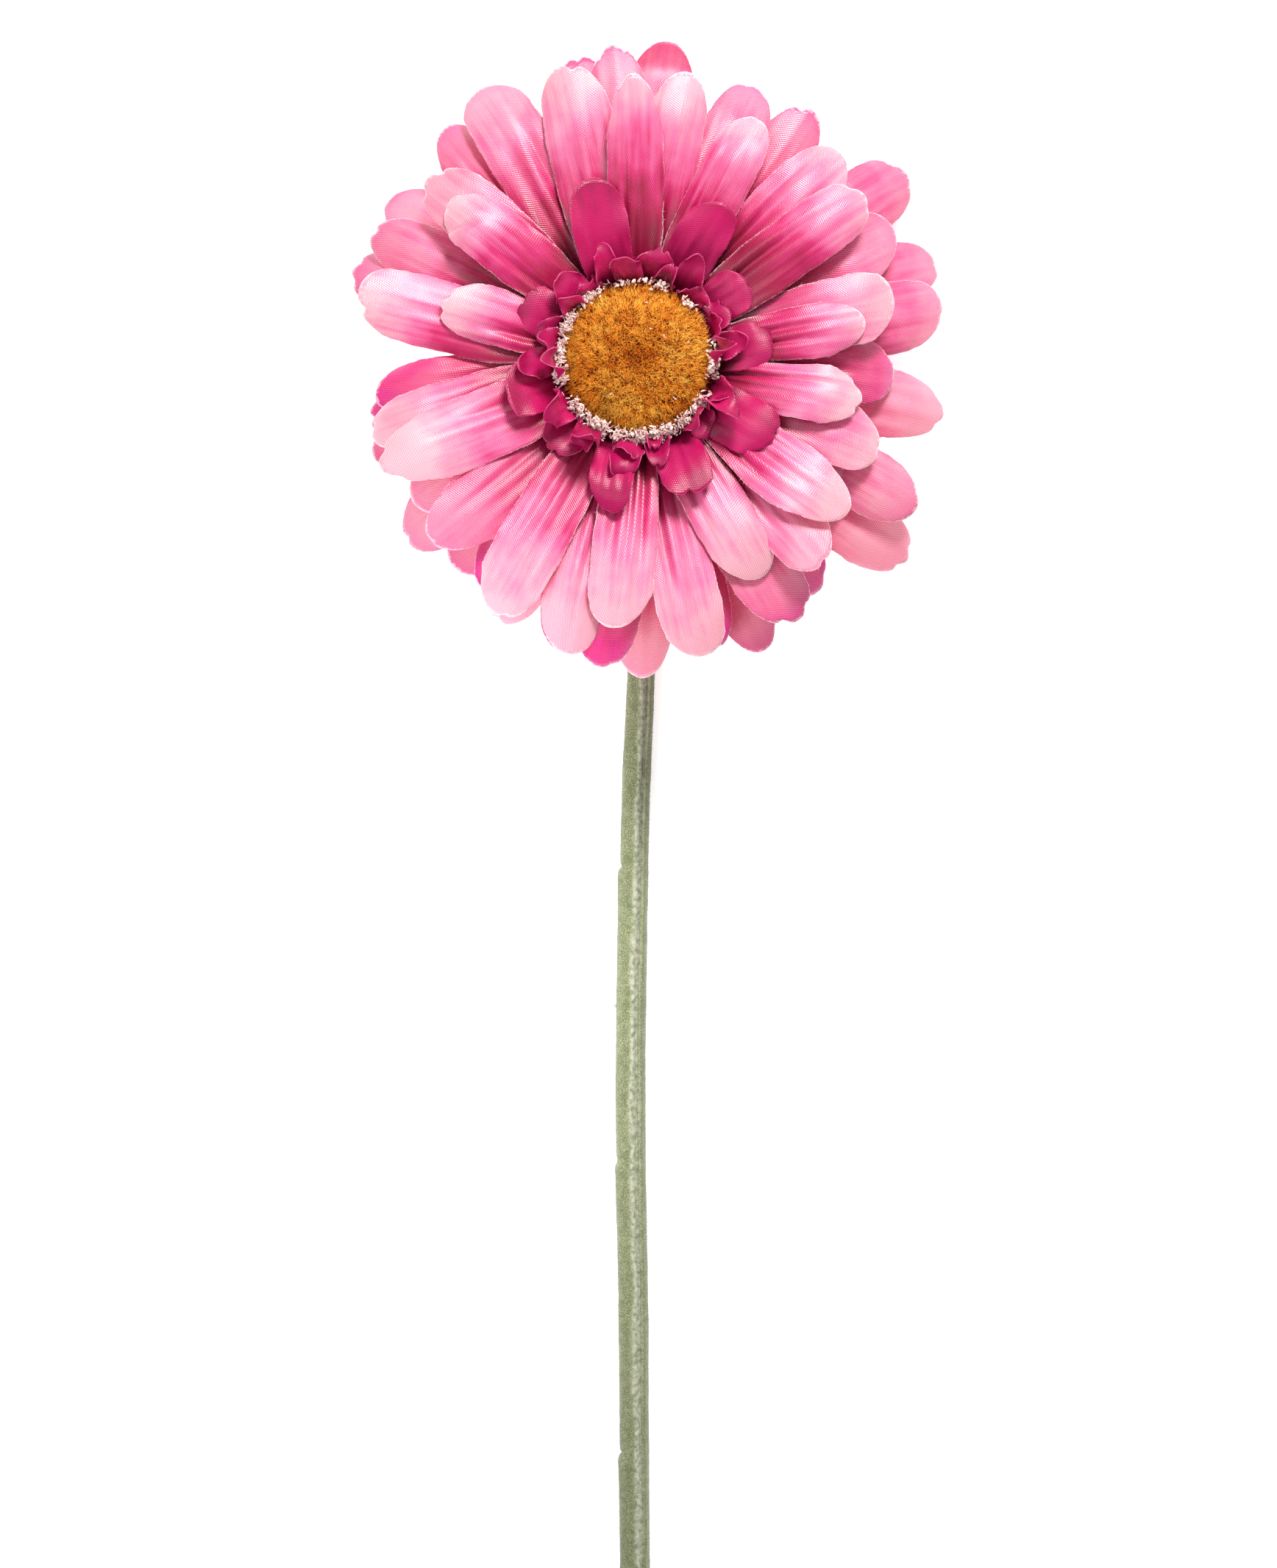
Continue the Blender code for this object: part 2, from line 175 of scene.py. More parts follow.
# collar ramps: the tips are dyed darker; the darkest root stops are painted shade among the petals
collarDyesAndShade = {
    "pale": [(0.0, "#620224"), (0.4, "#C01C62"), (0.65, "#BE1260"), (0.95, "#9C084C")],
    "deep": [(0.0, "#500220"), (0.4, "#9C0A48"), (0.7, "#A80C54"), (0.95, "#8E0444")],
}


def waveScale(spacing):
    return math.pi / 10 / spacing  # a wave texture repeats every pi / 10 units at scale 1


def makeSatin(name, look, dyeAndShadeRamps, weaveTurn):
    material, tree, shader = newMaterial(
        name, Roughness=0.38, Anisotropic=0.5, Sheen_Weight=look["sheen"], Sheen_Roughness=0.35,
        IOR=1.6, Specular_IOR_Level=look["gloss"],
        Subsurface_Weight=0.3, Subsurface_Radius=(1.0, 0.3, 0.45), Subsurface_Scale=1.0 * mm,
    )
    petalUv = addNode(tree, "ShaderNodeUVMap", uv_map="petalUv").outputs[0]
    sheetUv = addNode(tree, "ShaderNodeUVMap", uv_map="sheetUv").outputs[0]
    along, dye, rim, warmth = (
        addNode(tree, "ShaderNodeAttribute", attribute_name=key).outputs["Fac"]
        for key in ("along", "dye", "rim", "warmth")
    )

    # dye drawn out along the petal
    streakSpace = addNode(
        tree, "ShaderNodeMapping", {"Vector": petalUv, "Scale": (1 / look["streaks"], 50, 1)}
    )
    streaks = addNode(tree, "ShaderNodeTexNoise", {"Vector": streakSpace.outputs[0], "Scale": 1, "Detail": 3})
    blotches = addNode(tree, "ShaderNodeTexNoise", {"Vector": petalUv, "Scale": 130, "Detail": 2})
    spread = addNode(tree, "ShaderNodeMath", {0: streaks.outputs[0], 1: blotches.outputs[0]}, operation="ADD")
    shift = addNode(
        tree, "ShaderNodeMapRange",
        {"Value": spread.outputs[0], "From Min": 0.65, "From Max": 1.35, "To Min": -0.17, "To Max": 0.17},
    )
    place = addNode(tree, "ShaderNodeMath", {0: along, 1: shift.outputs[0]}, operation="ADD", use_clamp=True)
    # the dark root end of each ramp is painted shade
    pale = addNode(tree, "ShaderNodeValToRGB", {"Fac": place.outputs[0]}, stops=dyeAndShadeRamps["pale"])
    deep = addNode(tree, "ShaderNodeValToRGB", {"Fac": place.outputs[0]}, stops=dyeAndShadeRamps["deep"])
    dyedAndShaded = addNode(
        tree, "ShaderNodeMix", {"Factor": dye, 6: pale.outputs[0], 7: deep.outputs[0]}, data_type="RGBA"
    )
    warmed = addNode(
        tree, "ShaderNodeMix", {"Factor": warmth, 6: dyedAndShaded.outputs[2], 7: toLinear(look["salmon"])},
        data_type="RGBA",
    )

    # the twill lines of the face, crossed by the weft
    lines = []
    for turn, spacing in ((weaveTurn, look["threads"]), (weaveTurn + 64, 1.25 * look["threads"])):
        rotation = (0, 0, math.radians(turn))
        space = addNode(tree, "ShaderNodeMapping", {"Vector": sheetUv, "Rotation": rotation})
        wave = addNode(
            tree, "ShaderNodeTexWave",
            {"Vector": space.outputs[0], "Scale": waveScale(spacing), "Distortion": 1.1, "Detail": 2},
        )
        lines.append(wave.outputs[1])
    weave = addNode(
        tree, "ShaderNodeMix", {"Factor": look["weft"], 2: lines[0], 3: lines[1]}, data_type="FLOAT"
    )
    threadTone = addNode(
        tree, "ShaderNodeMapRange",
        {"Value": weave.outputs[0], "To Min": look["toneLow"], "To Max": look["toneHigh"]},
    )
    woven = addNode(
        tree, "ShaderNodeMix", {"Factor": 1.0, 6: warmed.outputs[2], 7: threadTone.outputs[0]},
        data_type="RGBA", blend_type="MULTIPLY",
    )

    # pale cut threads, in an uneven line
    rimNoise = addNode(tree, "ShaderNodeTexNoise", {"Vector": sheetUv, "Scale": 1 / (0.7 * mm), "Detail": 2})
    rimEdge = addNode(
        tree, "ShaderNodeMapRange",
        {
            "Value": rimNoise.outputs[0], "From Min": 0.35, "From Max": 0.7, "To Min": 0.04,
            "To Max": look["rimWidth"],
        },
    )
    rimShare = addNode(
        tree, "ShaderNodeMath", {0: rim, 1: rimEdge.outputs[0]}, operation="DIVIDE", use_clamp=True
    )
    rimFade = addNode(
        tree, "ShaderNodeMapRange",
        {"Value": rimShare.outputs[0], "From Min": 0.4, "To Min": 0.6, "To Max": 0.0},
    )
    final = addNode(
        tree, "ShaderNodeMix", {"Factor": rimFade.outputs[0], 6: woven.outputs[2], 7: toLinear(look["rim"])},
        data_type="RGBA",
    )
    tree.links.new(final.outputs[2], shader.inputs["Base Color"])
    roughness = addNode(
        tree, "ShaderNodeMapRange",
        {"Value": streaks.outputs[0], "From Min": 0.3, "From Max": 0.7, "To Min": 0.33, "To Max": 0.45},
    )
    tree.links.new(roughness.outputs[0], shader.inputs["Roughness"])
    height = addNode(
        tree, "ShaderNodeMix", {"Factor": 0.25, 2: weave.outputs[0], 3: streaks.outputs[0]}, data_type="FLOAT"
    )
    bump = addNode(
        tree, "ShaderNodeBump", {"Height": height.outputs[0], "Strength": 0.5, "Distance": 0.08 * mm}
    )
    tree.links.new(bump.outputs[0], shader.inputs["Normal"])
    tangent = addNode(tree, "ShaderNodeTangent", direction_type="UV_MAP", uv_map="petalUv")
    tree.links.new(tangent.outputs[0], shader.inputs["Tangent"])
    return material


raySatins = [makeSatin(f"polyesterSatin{n + 1}", satinLook, rayDyesAndShade, 38 + 29 * n) for n in range(5)]
collarLook = {
    **satinLook, "rim": "#CC4A82", "rimWidth": 0.07, "toneLow": 0.6, "toneHigh": 1.2, "threads": 0.32 * mm,
    "weft": 0.45, "sheen": 0.0, "gloss": 0.32,
}
collarSatins = [makeSatin(f"deepDyedSatin{n + 1}", collarLook, collarDyesAndShade, 20 + 47 * n) for n in range(3)]
print("satin made")


# Petals: azimuth in degrees, reach from the peg and width in mm, and how much magenta is in the dye.
# Lifts are the petals' pitch at the root and at the tip, in degrees.
rayLayers = [
    {
        "name": "ray_layer_1", "lifts": (5, -23), "petals": [
            (116, 56, 12, 0.35), (86, 62.5, 12, 0.3), (57, 58.5, 12, 0.35), (21, 58.5, 12, 0.25),
            (-8, 57, 14, 0.05), (-37, 61, 14, 0), (-65, 57, 13, 0.2), (-88, 57, 13, 0),
            (-118, 53, 13, 0.05), (-144, 53, 13, 0.1), (-170, 50, 12, 0.6), (147, 55.5, 13, 0.3),
        ],
    },
    {
        "name": "ray_layer_2", "lifts": (10, -17), "petals": [
            (130, 56, 12, 0.35), (102, 57.5, 12, 0.4), (67, 56, 12.5, 0.4), (36, 61, 14, 0.2),
            (9, 57, 14, 0.1), (-26, 57.5, 13, 0.1), (-50, 53, 12, 0.6), (-76, 54.5, 12, 0.7),
            (-107, 54, 12, 0.8), (-131, 50, 12, 0.15), (-160, 51, 12, 0.2), (160, 55, 13, 0.3),
        ],
    },
    {
        "name": "ray_layer_3", "lifts": (17, -11), "petals": [
            (118, 58, 13, 0.05), (93, 58, 12, 0.2), (54, 56, 12.5, 0.3), (26, 53, 13, 0.25),
            (-1, 47, 13, 0.75), (-33, 46, 12, 0.7), (-60, 55.5, 13, 0.35), (-96, 56, 13, 0.8),
            (-126, 50, 12, 0.75), (-149, 48, 12, 0.1), (-172, 48, 13, 0.85), (154, 54, 12, 0.15),
        ],
    },
    {
        "name": "ray_layer_4", "lifts": (23, -6), "petals": [
            (105, 55.5, 13.5, 0.1), (81, 53, 11, 0.15), (45, 53, 13, 0.1), (13, 48, 13, 0.05),
            (-20, 47, 12.5, 0.1), (-46, 50.5, 13, 0.3), (-79, 55, 12, 0.1), (-105, 55, 12.5, 0.15),
            (-136, 50, 13, 0.6), (-164, 50, 13, 0.1), (168, 52, 14, 0), (137, 50.5, 12, 0.2),
        ],
    },
    {
        "name": "ray_layer_5", "lifts": (29, -2), "petals": [
            (90, 51.5, 11, 0.05), (65, 49, 11, 0.1), (36, 51, 12, 0.05), (8, 42, 10.5, 0.05),
            (-11, 41.5, 11, 0), (-38, 47.5, 13, 0), (-62, 45.5, 12, 0.05), (-93, 49, 12, 0.1),
            (-120, 53, 12.5, 0.05), (-156, 50.5, 14.5, 0), (163, 37, 11, 0), (138, 44.5, 12.5, 0.05),
        ],
    },
]
collarLayers = [
    {
        "name": "collar_layer_1", "lifts": (46, 6), "petals": [
            (107, 33.5, 10.5, 0.2), (63, 32, 10, 0.1), (35, 24.5, 8.5, 0.3), (6, 25, 9, 0.4),
            (-32, 29, 11, 0.1), (-66, 27, 9.5, 0.3), (-103, 28.5, 8.2, 0.05), (-133, 23, 8.5, 0.5),
            (-165, 24.5, 10, 0.1), (154, 23.5, 9, 0.3),
        ],
    },
    {
        "name": "collar_layer_2", "lifts": (64, 22), "petals": [
            (
                82 - 25.7 * i + 5 * math.sin(2.9 * i), 20.4 + 1.6 * math.sin(2.1 * i),
                6.9 + 1.0 * math.sin(3.7 * i), 0.4 + 0.4 * math.sin(1.3 * i),
            )
            for i in range(14)
        ],
    },
    {
        "name": "collar_layer_3", "lifts": (76, 44), "petals": [
            (
                95 - 24 * i + 5 * math.sin(3.3 * i), 17.6 + 0.8 * math.sin(1.7 * i),
                5.8 + 0.9 * math.sin(4.3 * i), 0.6 + 0.4 * math.sin(2.3 * i),
            )
            for i in range(15)
        ],
    },
]
rayShape = {
    "slit": 13.0, "shoulder": 0.73, "roundness": 0.78, "point": 2.0, "rootWidth": 0.63, "crown": (-0.48, 0.3),
    "rootCup": 0.3, "furrow": 0.9, "curl": (20, 22), "lean": 3.0, "twist": 10, "drift": 0.035,
    "ruffle": 0.4, "notch": 0.1, "rows": 38, "fray": 0.3,
    "columns": (0, 0.1, 0.2, 0.3, 0.4, 0.5, 0.6, 0.7, 0.8, 0.89, 0.96, 1),
}
collarShapes = [
    {
        "slit": 14.4, "shoulder": 0.66, "roundness": 0.74, "point": 1.8, "rootWidth": 0.74,
        "crown": (-0.15, 0.4), "rootCup": 0.2, "furrow": 0.45, "curl": (12, 26), "lean": 7.0, "twist": 14,
        "drift": 0.08, "ruffle": 0.5, "notch": 0.14, "rows": 22, "fray": 0.3,
        "columns": (0, 0.14, 0.28, 0.42, 0.56, 0.7, 0.84, 0.94, 1),
    },
    {
        "slit": 14.3, "shoulder": 0.5, "roundness": 0.86, "point": 1.35, "rootWidth": 0.66,
        "crown": (0.4, 0.9), "rootCup": 0.2, "furrow": 0.25, "curl": (14, 70), "lean": 16.0, "twist": 46,
        "drift": 0.2, "ruffle": 1.2, "notch": 0.2, "rows": 20, "fray": 0.3,
        "columns": (0, 0.16, 0.33, 0.5, 0.67, 0.82, 0.94, 1),
    },
    {
        "slit": 14.2, "shoulder": 0.45, "roundness": 0.9, "point": 1.25, "rootWidth": 0.7,
        "crown": (0.5, 0.9), "rootCup": 0.2, "furrow": 0.2, "curl": (4, 80), "lean": 16.0, "twist": 52,
        "drift": 0.22, "ruffle": 1.3, "notch": 0.2, "rows": 20, "fray": 0.3,
        "columns": (0, 0.16, 0.33, 0.5, 0.67, 0.82, 0.94, 1),
    },
]
sheetThickness = 0.2  # mm, as are the two below
holeRadius = 2.4
slitGap = 0.3
freeRow = 6  # the first row of a petal that is clear of the hub
farFromEdge = 6  # mm, where no cut edge is near


def sway(azimuth, rate):
    # from -1 to 1, different for each petal but always the same for one
    return math.sin(rate * 7.31 * math.radians(azimuth) + rate * rate)


def smoothStep(low, high, value):
    share = np.clip((value - low) / (high - low), 0, 1)
    return share * share * (3 - 2 * share)


def petalSpine(layer, shape, azimuth, reach):
    # the petal's centreline in mm, seen from the side: shares of its length, distance from the peg,
    # height over the sheet's flat middle, pitch, and the flat length
    share = np.linspace(0, 1, 61)
    root = layer["lifts"][0] + shape["lean"] * sway(azimuth, 7)
    tip = layer["lifts"][1] + shape["lean"] * 1.5 * sway(azimuth, 5)
    curl = shape["curl"][0] + shape["curl"][1] * sway(azimuth, 29)
    pitch = root + (tip - root) * share**0.9 - curl * smoothStep(0.62, 1.0, share)
    pitch = np.radians(pitch)
    out = np.concatenate([[0], np.cumsum((np.cos(pitch[1:]) + np.cos(pitch[:-1])) / 120)])
    up = np.concatenate([[0], np.cumsum((np.sin(pitch[1:]) + np.sin(pitch[:-1])) / 120)])
    span = (reach - shape["slit"]) / out.max()
    return share, shape["slit"] + span * out, span * up, pitch, span


def petalGrid(layer, shape, height, petal, left, right):
    # points of one petal in the head's frame in mm, rows from the hole to the tip
    azimuth, reach, width, _ = petal
    slit = shape["slit"]
    spineShare, spineOut, spineUp, spinePitch, span = petalSpine(layer, shape, azimuth, reach)
    half = shape["columns"]
    across = np.array([-c for c in half[:0:-1]] + list(half))[None, :]
    along = np.linspace(0, 1, shape["rows"])[:, None]

    # flat outline: a tongue with a blunt round tip, sometimes nicked
    shoulder = shape["shoulder"] + 0.06 * sway(azimuth, 13)
    roundness = min(1, shape["roundness"] + 0.14 * sway(azimuth, 15))
    tipShare = np.clip((along - shoulder) / (1 - shoulder), 0, 1)
    rounded = tipShare * np.sqrt(1 - roundness * np.abs(across) ** shape["point"])
    share = np.where(along < shoulder, along, shoulder + (1 - shoulder) * rounded)
    for n, side in enumerate((-1, 1)):
        depth = shape["notch"] * width / span * max(0.0, sway(azimuth, 17 + 2 * n) - 0.1)
        notchPlace = 0.12 + side * (0.3 + 0.15 * sway(azimuth, 19 + n))
        share = share - depth * np.exp(-(((across - notchPlace) / 0.15) ** 2)) * tipShare**3
    share = share + 0.07 * width / span * sway(azimuth, 23) * across * tipShare**2
    fullness = np.sin(np.pi / 2 * np.clip(along / 0.66, 0, 1))
    fullness = shape["rootWidth"] + (1 - shape["rootWidth"]) * fullness
    fullness = fullness * (1 - 0.12 * tipShare**2)
    uneven = 0.012 * np.sin(23 * along + azimuth) + 0.01 * np.sin(51 * along + 2.3 * azimuth)
    fullness = fullness * (1 + uneven)
    run = span * share
    radius = slit + run
    sector = radius * np.where(across > 0, math.tan(left), math.tan(right))
    sector = sector - slitGap * np.clip(run / 2, 0, 1)
    reachAcross = np.minimum(sector, width / 2 * fullness)
    reachAcross = np.where(along == 0, sector, reachAcross)

    # across the petal: cupped at the root, rolled back further out, with furrows that fade to the tip
    cup = shape["rootCup"] * smoothStep(0.0, 0.1, share) * (1 - smoothStep(0.12, 0.4, share))
    crown = (shape["crown"][0] + shape["crown"][1] * sway(azimuth, 31)) * smoothStep(0.1, 0.6, share)
    bend = cup + crown
    bend = np.where(np.abs(bend) < 1e-3, 1e-3, bend)
    side = reachAcross * np.sin(bend * across) / bend
    rise = reachAcross * (1 - np.cos(bend * across)) / bend
    fade = smoothStep(0.0, 0.12, share) * (1 - 0.9 * smoothStep(0.38, 0.88, share))
    lines = (-0.52, -0.02, 0.5) if sway(azimuth, 37) > -0.1 else (-0.32, 0.3)
    for n, line in enumerate(lines):
        line = line * (0.8 + 0.3 * share) + 0.08 * sway(azimuth, 41 + n) + 0.05 * np.sin(4 * share + n)
        depth = shape["furrow"] * (0.75 + 0.5 * sway(azimuth, 43 + n))
        rise = rise - depth * np.exp(-(((across - line) / 0.15) ** 2)) * fade
        rise = rise + 0.45 * depth * np.exp(-(((across - line - 0.27) / 0.13) ** 2)) * fade
    rise = rise + 0.1 * shape["furrow"] * np.sin(19 * across + 3 * share + azimuth) * fade
    wave = np.sin(2 * np.pi * run / (0.3 * span + 4) + azimuth * (1 + 0.4 * np.sign(across)))
    rise = rise + shape["ruffle"] * np.abs(across) ** 3 * wave * smoothStep(0.1, 0.5, share)
    if azimuth == 138:  # the one petal with a dented tip
        dent = (share - 0.8 - 0.12 * across) / 0.022
        rise = rise - 0.75 * np.exp(-(dent**2)) * smoothStep(-0.3, 0.4, across)

    # bent along its spine, twisted and drawn aside
    turn = math.radians(shape["twist"]) * sway(azimuth, 11) * share
    pitch = np.interp(share, spineShare, spinePitch)
    lateral = side * np.cos(turn) - rise * np.sin(turn) + shape["drift"] * span * sway(azimuth, 47) * share**2
    normal = side * np.sin(turn) + rise * np.cos(turn)
    outward = np.interp(share, spineShare, spineOut) - np.sin(pitch) * normal
    upward = np.interp(share, spineShare, spineUp) + np.cos(pitch) * normal

    # the uncut middle of the sheet, inside the slits
    hub = np.linspace(holeRadius, slit, 5)[:-1, None]
    hubSide = hub * across * np.where(across > 0, math.tan(left), math.tan(right))
    radius = np.vstack([hub + 0 * across, radius])
    flatSide = np.vstack([hubSide, across * reachAcross])
    outward = np.vstack([hub + 0 * across, outward])
    lateral = np.vstack([hubSide, lateral])
    upward = np.vstack([0 * hubSide, upward]) + height
    turn = math.radians(azimuth)
    away = np.array([math.cos(turn), math.sin(turn), 0])
    sideways = np.array([-math.sin(turn), math.cos(turn), 0])
    peg = np.array([0, 0, 1.0])
    grid = outward[..., None] * away + lateral[..., None] * sideways + upward[..., None] * peg
    sheetUv = radius[..., None] * away[:2] + flatSide[..., None] * sideways[:2]
    tipRoom = (1 - along) * (1 - shoulder) * span
    rim = np.minimum((1 - np.abs(across)) * reachAcross, tipRoom + 0 * across)
    rim = np.vstack([farFromEdge + 0 * hubSide, np.where(along < 0.05, farFromEdge, rim)])
    shareFull = np.vstack([0 * hubSide, np.clip(share, 0, 1)])
    return grid, radius, flatSide, sheetUv, rim, shareFull


def layOnFloor(points):
    # petals that reach the surface lie along it
    soft = 0.7 * mm
    lowest = 0.3 * mm
    height = points[:, 2]
    eased = lowest + soft * np.logaddexp(0, (height - lowest) / soft)
    points[:, 2] = np.where(height < lowest + 6 * soft, eased, height)
    return points


def fraySpikes(roots, outward, lengths, width):
    # cut thread ends: thin closed spikes with a three-sided foot
    count = len(roots)
    anyWay = rng.normal(size=(count, 3))
    first = np.cross(outward, anyWay)
    first /= np.linalg.norm(first, axis=1)[:, None]
    second = np.cross(outward, first)
    corners = []
    for n in range(3):
        angle = math.tau * n / 3
        corners.append(roots + width / 2 * (math.cos(angle) * first + math.sin(angle) * second))
    corners.append(roots + outward * lengths[:, None])
    points = np.stack(corners, axis=1).reshape(-1, 3)
    one = np.array([(0, 2, 1), (0, 1, 3), (1, 2, 3), (2, 0, 3)])
    faces = (one[None] + 4 * np.arange(count)[:, None, None]).reshape(-1, 3)
    return points, faces


def makeLayer(layer, shape, number, material, thread, slotName):
    height = number * layerPitch / mm
    petals = layer["petals"]
    points, faces, petalUv, sheetUv, flatArea, start = [], [], [], [], 0.0, 0
    values = {"along": [], "dye": [], "rim": [], "warmth": []}
    frayRoots, frayWays = [], []
    for i, petal in enumerate(petals):
        left = math.radians((petals[i - 1][0] - petal[0]) % 360) / 2
        right = math.radians((petal[0] - petals[(i + 1) % len(petals)][0]) % 360) / 2
        grid, radius, side, flat, rim, share = petalGrid(layer, shape, height, petal, left, right)
        rows, columns = radius.shape
        points.append(grid.reshape(-1, 3))
        petalUv.append(np.stack([side + 20 * i, radius], axis=-1).reshape(-1, 2) * mm)
        sheetUv.append(flat.reshape(-1, 2) * mm)
        edgeDye = 0.6 * np.clip(1 - rim / 3, 0, 1) * (number < 3)  # the three rear layers' edges
        uneven = 0.07 * sway(petal[0], 53)
        uneven += 0.09 * math.cos(math.radians(petal[0] - 240))  # painted light: petals towards the lower left drawn paler, towards the upper right darker
        values["along"].append(share + uneven * smoothStep(0.05, 0.3, share))
        values["dye"].append(np.clip(petal[3] + edgeDye * share**2, 0, 1))
        values["rim"].append(rim)
        warm = number == 0 and petal[3] < 0.1  # the least dyed petals of the rear layer
        values["warmth"].append(0 * rim + (0.6 * share if warm else 0))
        cell = np.arange(rows * columns).reshape(rows, columns) + start
        faces.append(
            np.stack([cell[:-1, :-1], cell[:-1, 1:], cell[1:, 1:], cell[1:, :-1]], axis=-1).reshape(-1, 4)
        )
        start += rows * columns
        breadth = side[:, -1] - side[:, 0]
        flatArea += float(np.sum(np.diff(radius[:, columns // 2]) * (breadth[1:] + breadth[:-1]) / 2))
        # frayed ends all round the free outline
        back = slice(None, freeRow - 1, -1)
        outline = np.vstack([grid[freeRow:, 0], grid[-1, 1:-1], grid[back, -1]])
        inside = np.vstack([grid[freeRow:, 1], grid[-2, 1:-1], grid[back, -2]])
        steps = np.diff(outline, axis=0)
        lengths = np.linalg.norm(steps, axis=1)
        wanted = int(lengths.sum() / shape["fray"])
        chosen = rng.choice(len(steps), wanted, p=lengths / lengths.sum())
        places = outline[chosen] + steps[chosen] * rng.random((wanted, 1))
        out = outline[chosen] - inside[chosen]
        out /= np.linalg.norm(out, axis=1)[:, None] + 1e-9
        frayRoots.append(places)
        frayWays.append(out + rng.normal(scale=0.35, size=out.shape))
    piece = makeObject(
        layer["name"].replace("layer", "petals"),
        layOnFloor(toWorld(np.vstack(points) * mm)),
        np.vstack(faces).tolist(),
        material,
        {"petalUv": np.vstack(petalUv), "sheetUv": np.vstack(sheetUv)},
        {key: np.concatenate([v.ravel() for v in parts]) for key, parts in values.items()},
    )
    pointOutwards(piece, 0.02 * mm)
    applyModifier(piece, "SOLIDIFY", thickness=sheetThickness * mm, offset=0)
    finishPiece(piece, slotName, layer["name"])

    roots = np.vstack(frayRoots)
    ways = np.vstack(frayWays)
    ways /= np.linalg.norm(ways, axis=1)[:, None]
    lengths = rng.uniform(0.08, 0.3, len(roots))
    lengths = lengths + 0.7 * rng.random(len(roots)) * (rng.random(len(roots)) > 0.97)  # a few hang out
    spikePoints, spikeFaces = fraySpikes(roots - 0.1 * ways, ways, lengths + 0.1, 0.11)
    fray = makeObject(
        layer["name"].replace("layer", "fray"),
        layOnFloor(toWorld(spikePoints * mm)),
        spikeFaces.tolist(),
        thread,
    )
    finishPiece(fray, slotName)


# Cut ends of the satin's threads, paler than its face
threads = []
for name, colour in (("cutSatinThread", "#F6BACB"), ("cutDeepDyedThread", "#C43F78")):
    material, tree, shader = newMaterial(name, Roughness=0.6, Sheen_Weight=0.2)
    place = addNode(tree, "ShaderNodeTexCoord").outputs["Object"]
    mottle = addNode(tree, "ShaderNodeTexNoise", {"Vector": place, "Scale": 1 / (1.5 * mm), "Detail": 2})
    tone = addNode(
        tree, "ShaderNodeMix", {"Factor": mottle.outputs[0], 6: toLinear(colour), 7: darker(colour, 0.75)},
        data_type="RGBA",
    )
    tree.links.new(tone.outputs[2], shader.inputs["Base Color"])
    threads.append(material)

for number, layer in enumerate(rayLayers):
    makeLayer(layer, rayShape, number, raySatins[number], threads[0], "pink_satin")
print("ray petals made")
for number, layer in enumerate(collarLayers):
    makeLayer(
        layer, collarShapes[number], 5 + number, collarSatins[number], threads[1], "magenta_satin"
    )
print("collar petals made")


# Plush: long polyester pile, amber dye, with the roots painted darker as shade down among the fibres. Its
# tips gather in small tufts.
plushLook = {
    "fibres": 17000, "tufts": 330, "fibreWidth": 0.11, "backingRadius": 12.5, "backingHeight": 5.2,
    "pileLength": 2.8, "dimple": 1.2, "gathered": 0.6, "tuftShade": 0.16, "fibreShade": 0.11,
    "centreShade": 0.55, "centreWidth": 0.27, "roots": "#C0560C", "middle": "#F69516", "tips": "#FFCE58",
}


def domeHeight(share):
    # height of the backing over the disc's foot in mm, by the share of its radius
    level = plushLook["backingHeight"] * (1 - share**3.2)
    return level - plushLook["dimple"] * np.exp(-((share / 0.2) ** 2))


def makePlushMaterial():
    material, tree, shader = newMaterial(
        "plushPile", Roughness=0.6, Sheen_Weight=0.05, Specular_IOR_Level=0.2
    )
    depth = addNode(tree, "ShaderNodeAttribute", attribute_name="depth").outputs["Fac"]
    shade = addNode(tree, "ShaderNodeAttribute", attribute_name="shade").outputs["Fac"]
    place = addNode(tree, "ShaderNodeMath", {0: depth, 1: shade}, operation="ADD", use_clamp=True)
    dye = addNode(
        tree, "ShaderNodeValToRGB", {"Fac": place.outputs[0]},
        stops=[(0.05, plushLook["roots"]), (0.5, plushLook["middle"]), (1.0, plushLook["tips"])],
    )
    tree.links.new(dye.outputs[0], shader.inputs["Base Color"])
    return material


def makeBacking(material):
    bpy.ops.mesh.primitive_uv_sphere_add(segments=56, ring_count=28, radius=1)
    backing = bpy.context.object
    backing.name = "plush_backing"
    for vert in backing.data.vertices:
        flat = Vector((vert.co.x, vert.co.y))
        share = flat.length
        radius = plushLook["backingRadius"]
        top = float(domeHeight(share)) if vert.co.z > 0 else 0.1
        vert.co = Vector((flat.x * radius, flat.y * radius, discBottom / mm + top + 0.1)) * mm
    backing.data.transform(headMatrix)
    # the backing takes the darker root colour, painted shade under the pile
    values = np.full(len(backing.data.vertices), 0.15, np.float32)
    for key in ("depth", "shade"):
        backing.data.attributes.new(key, "FLOAT", "POINT").data.foreach_set("value", values)
    backing.data.shade_smooth()
    backing.data.materials.append(material)
    finishPiece(backing, "amber_plush")


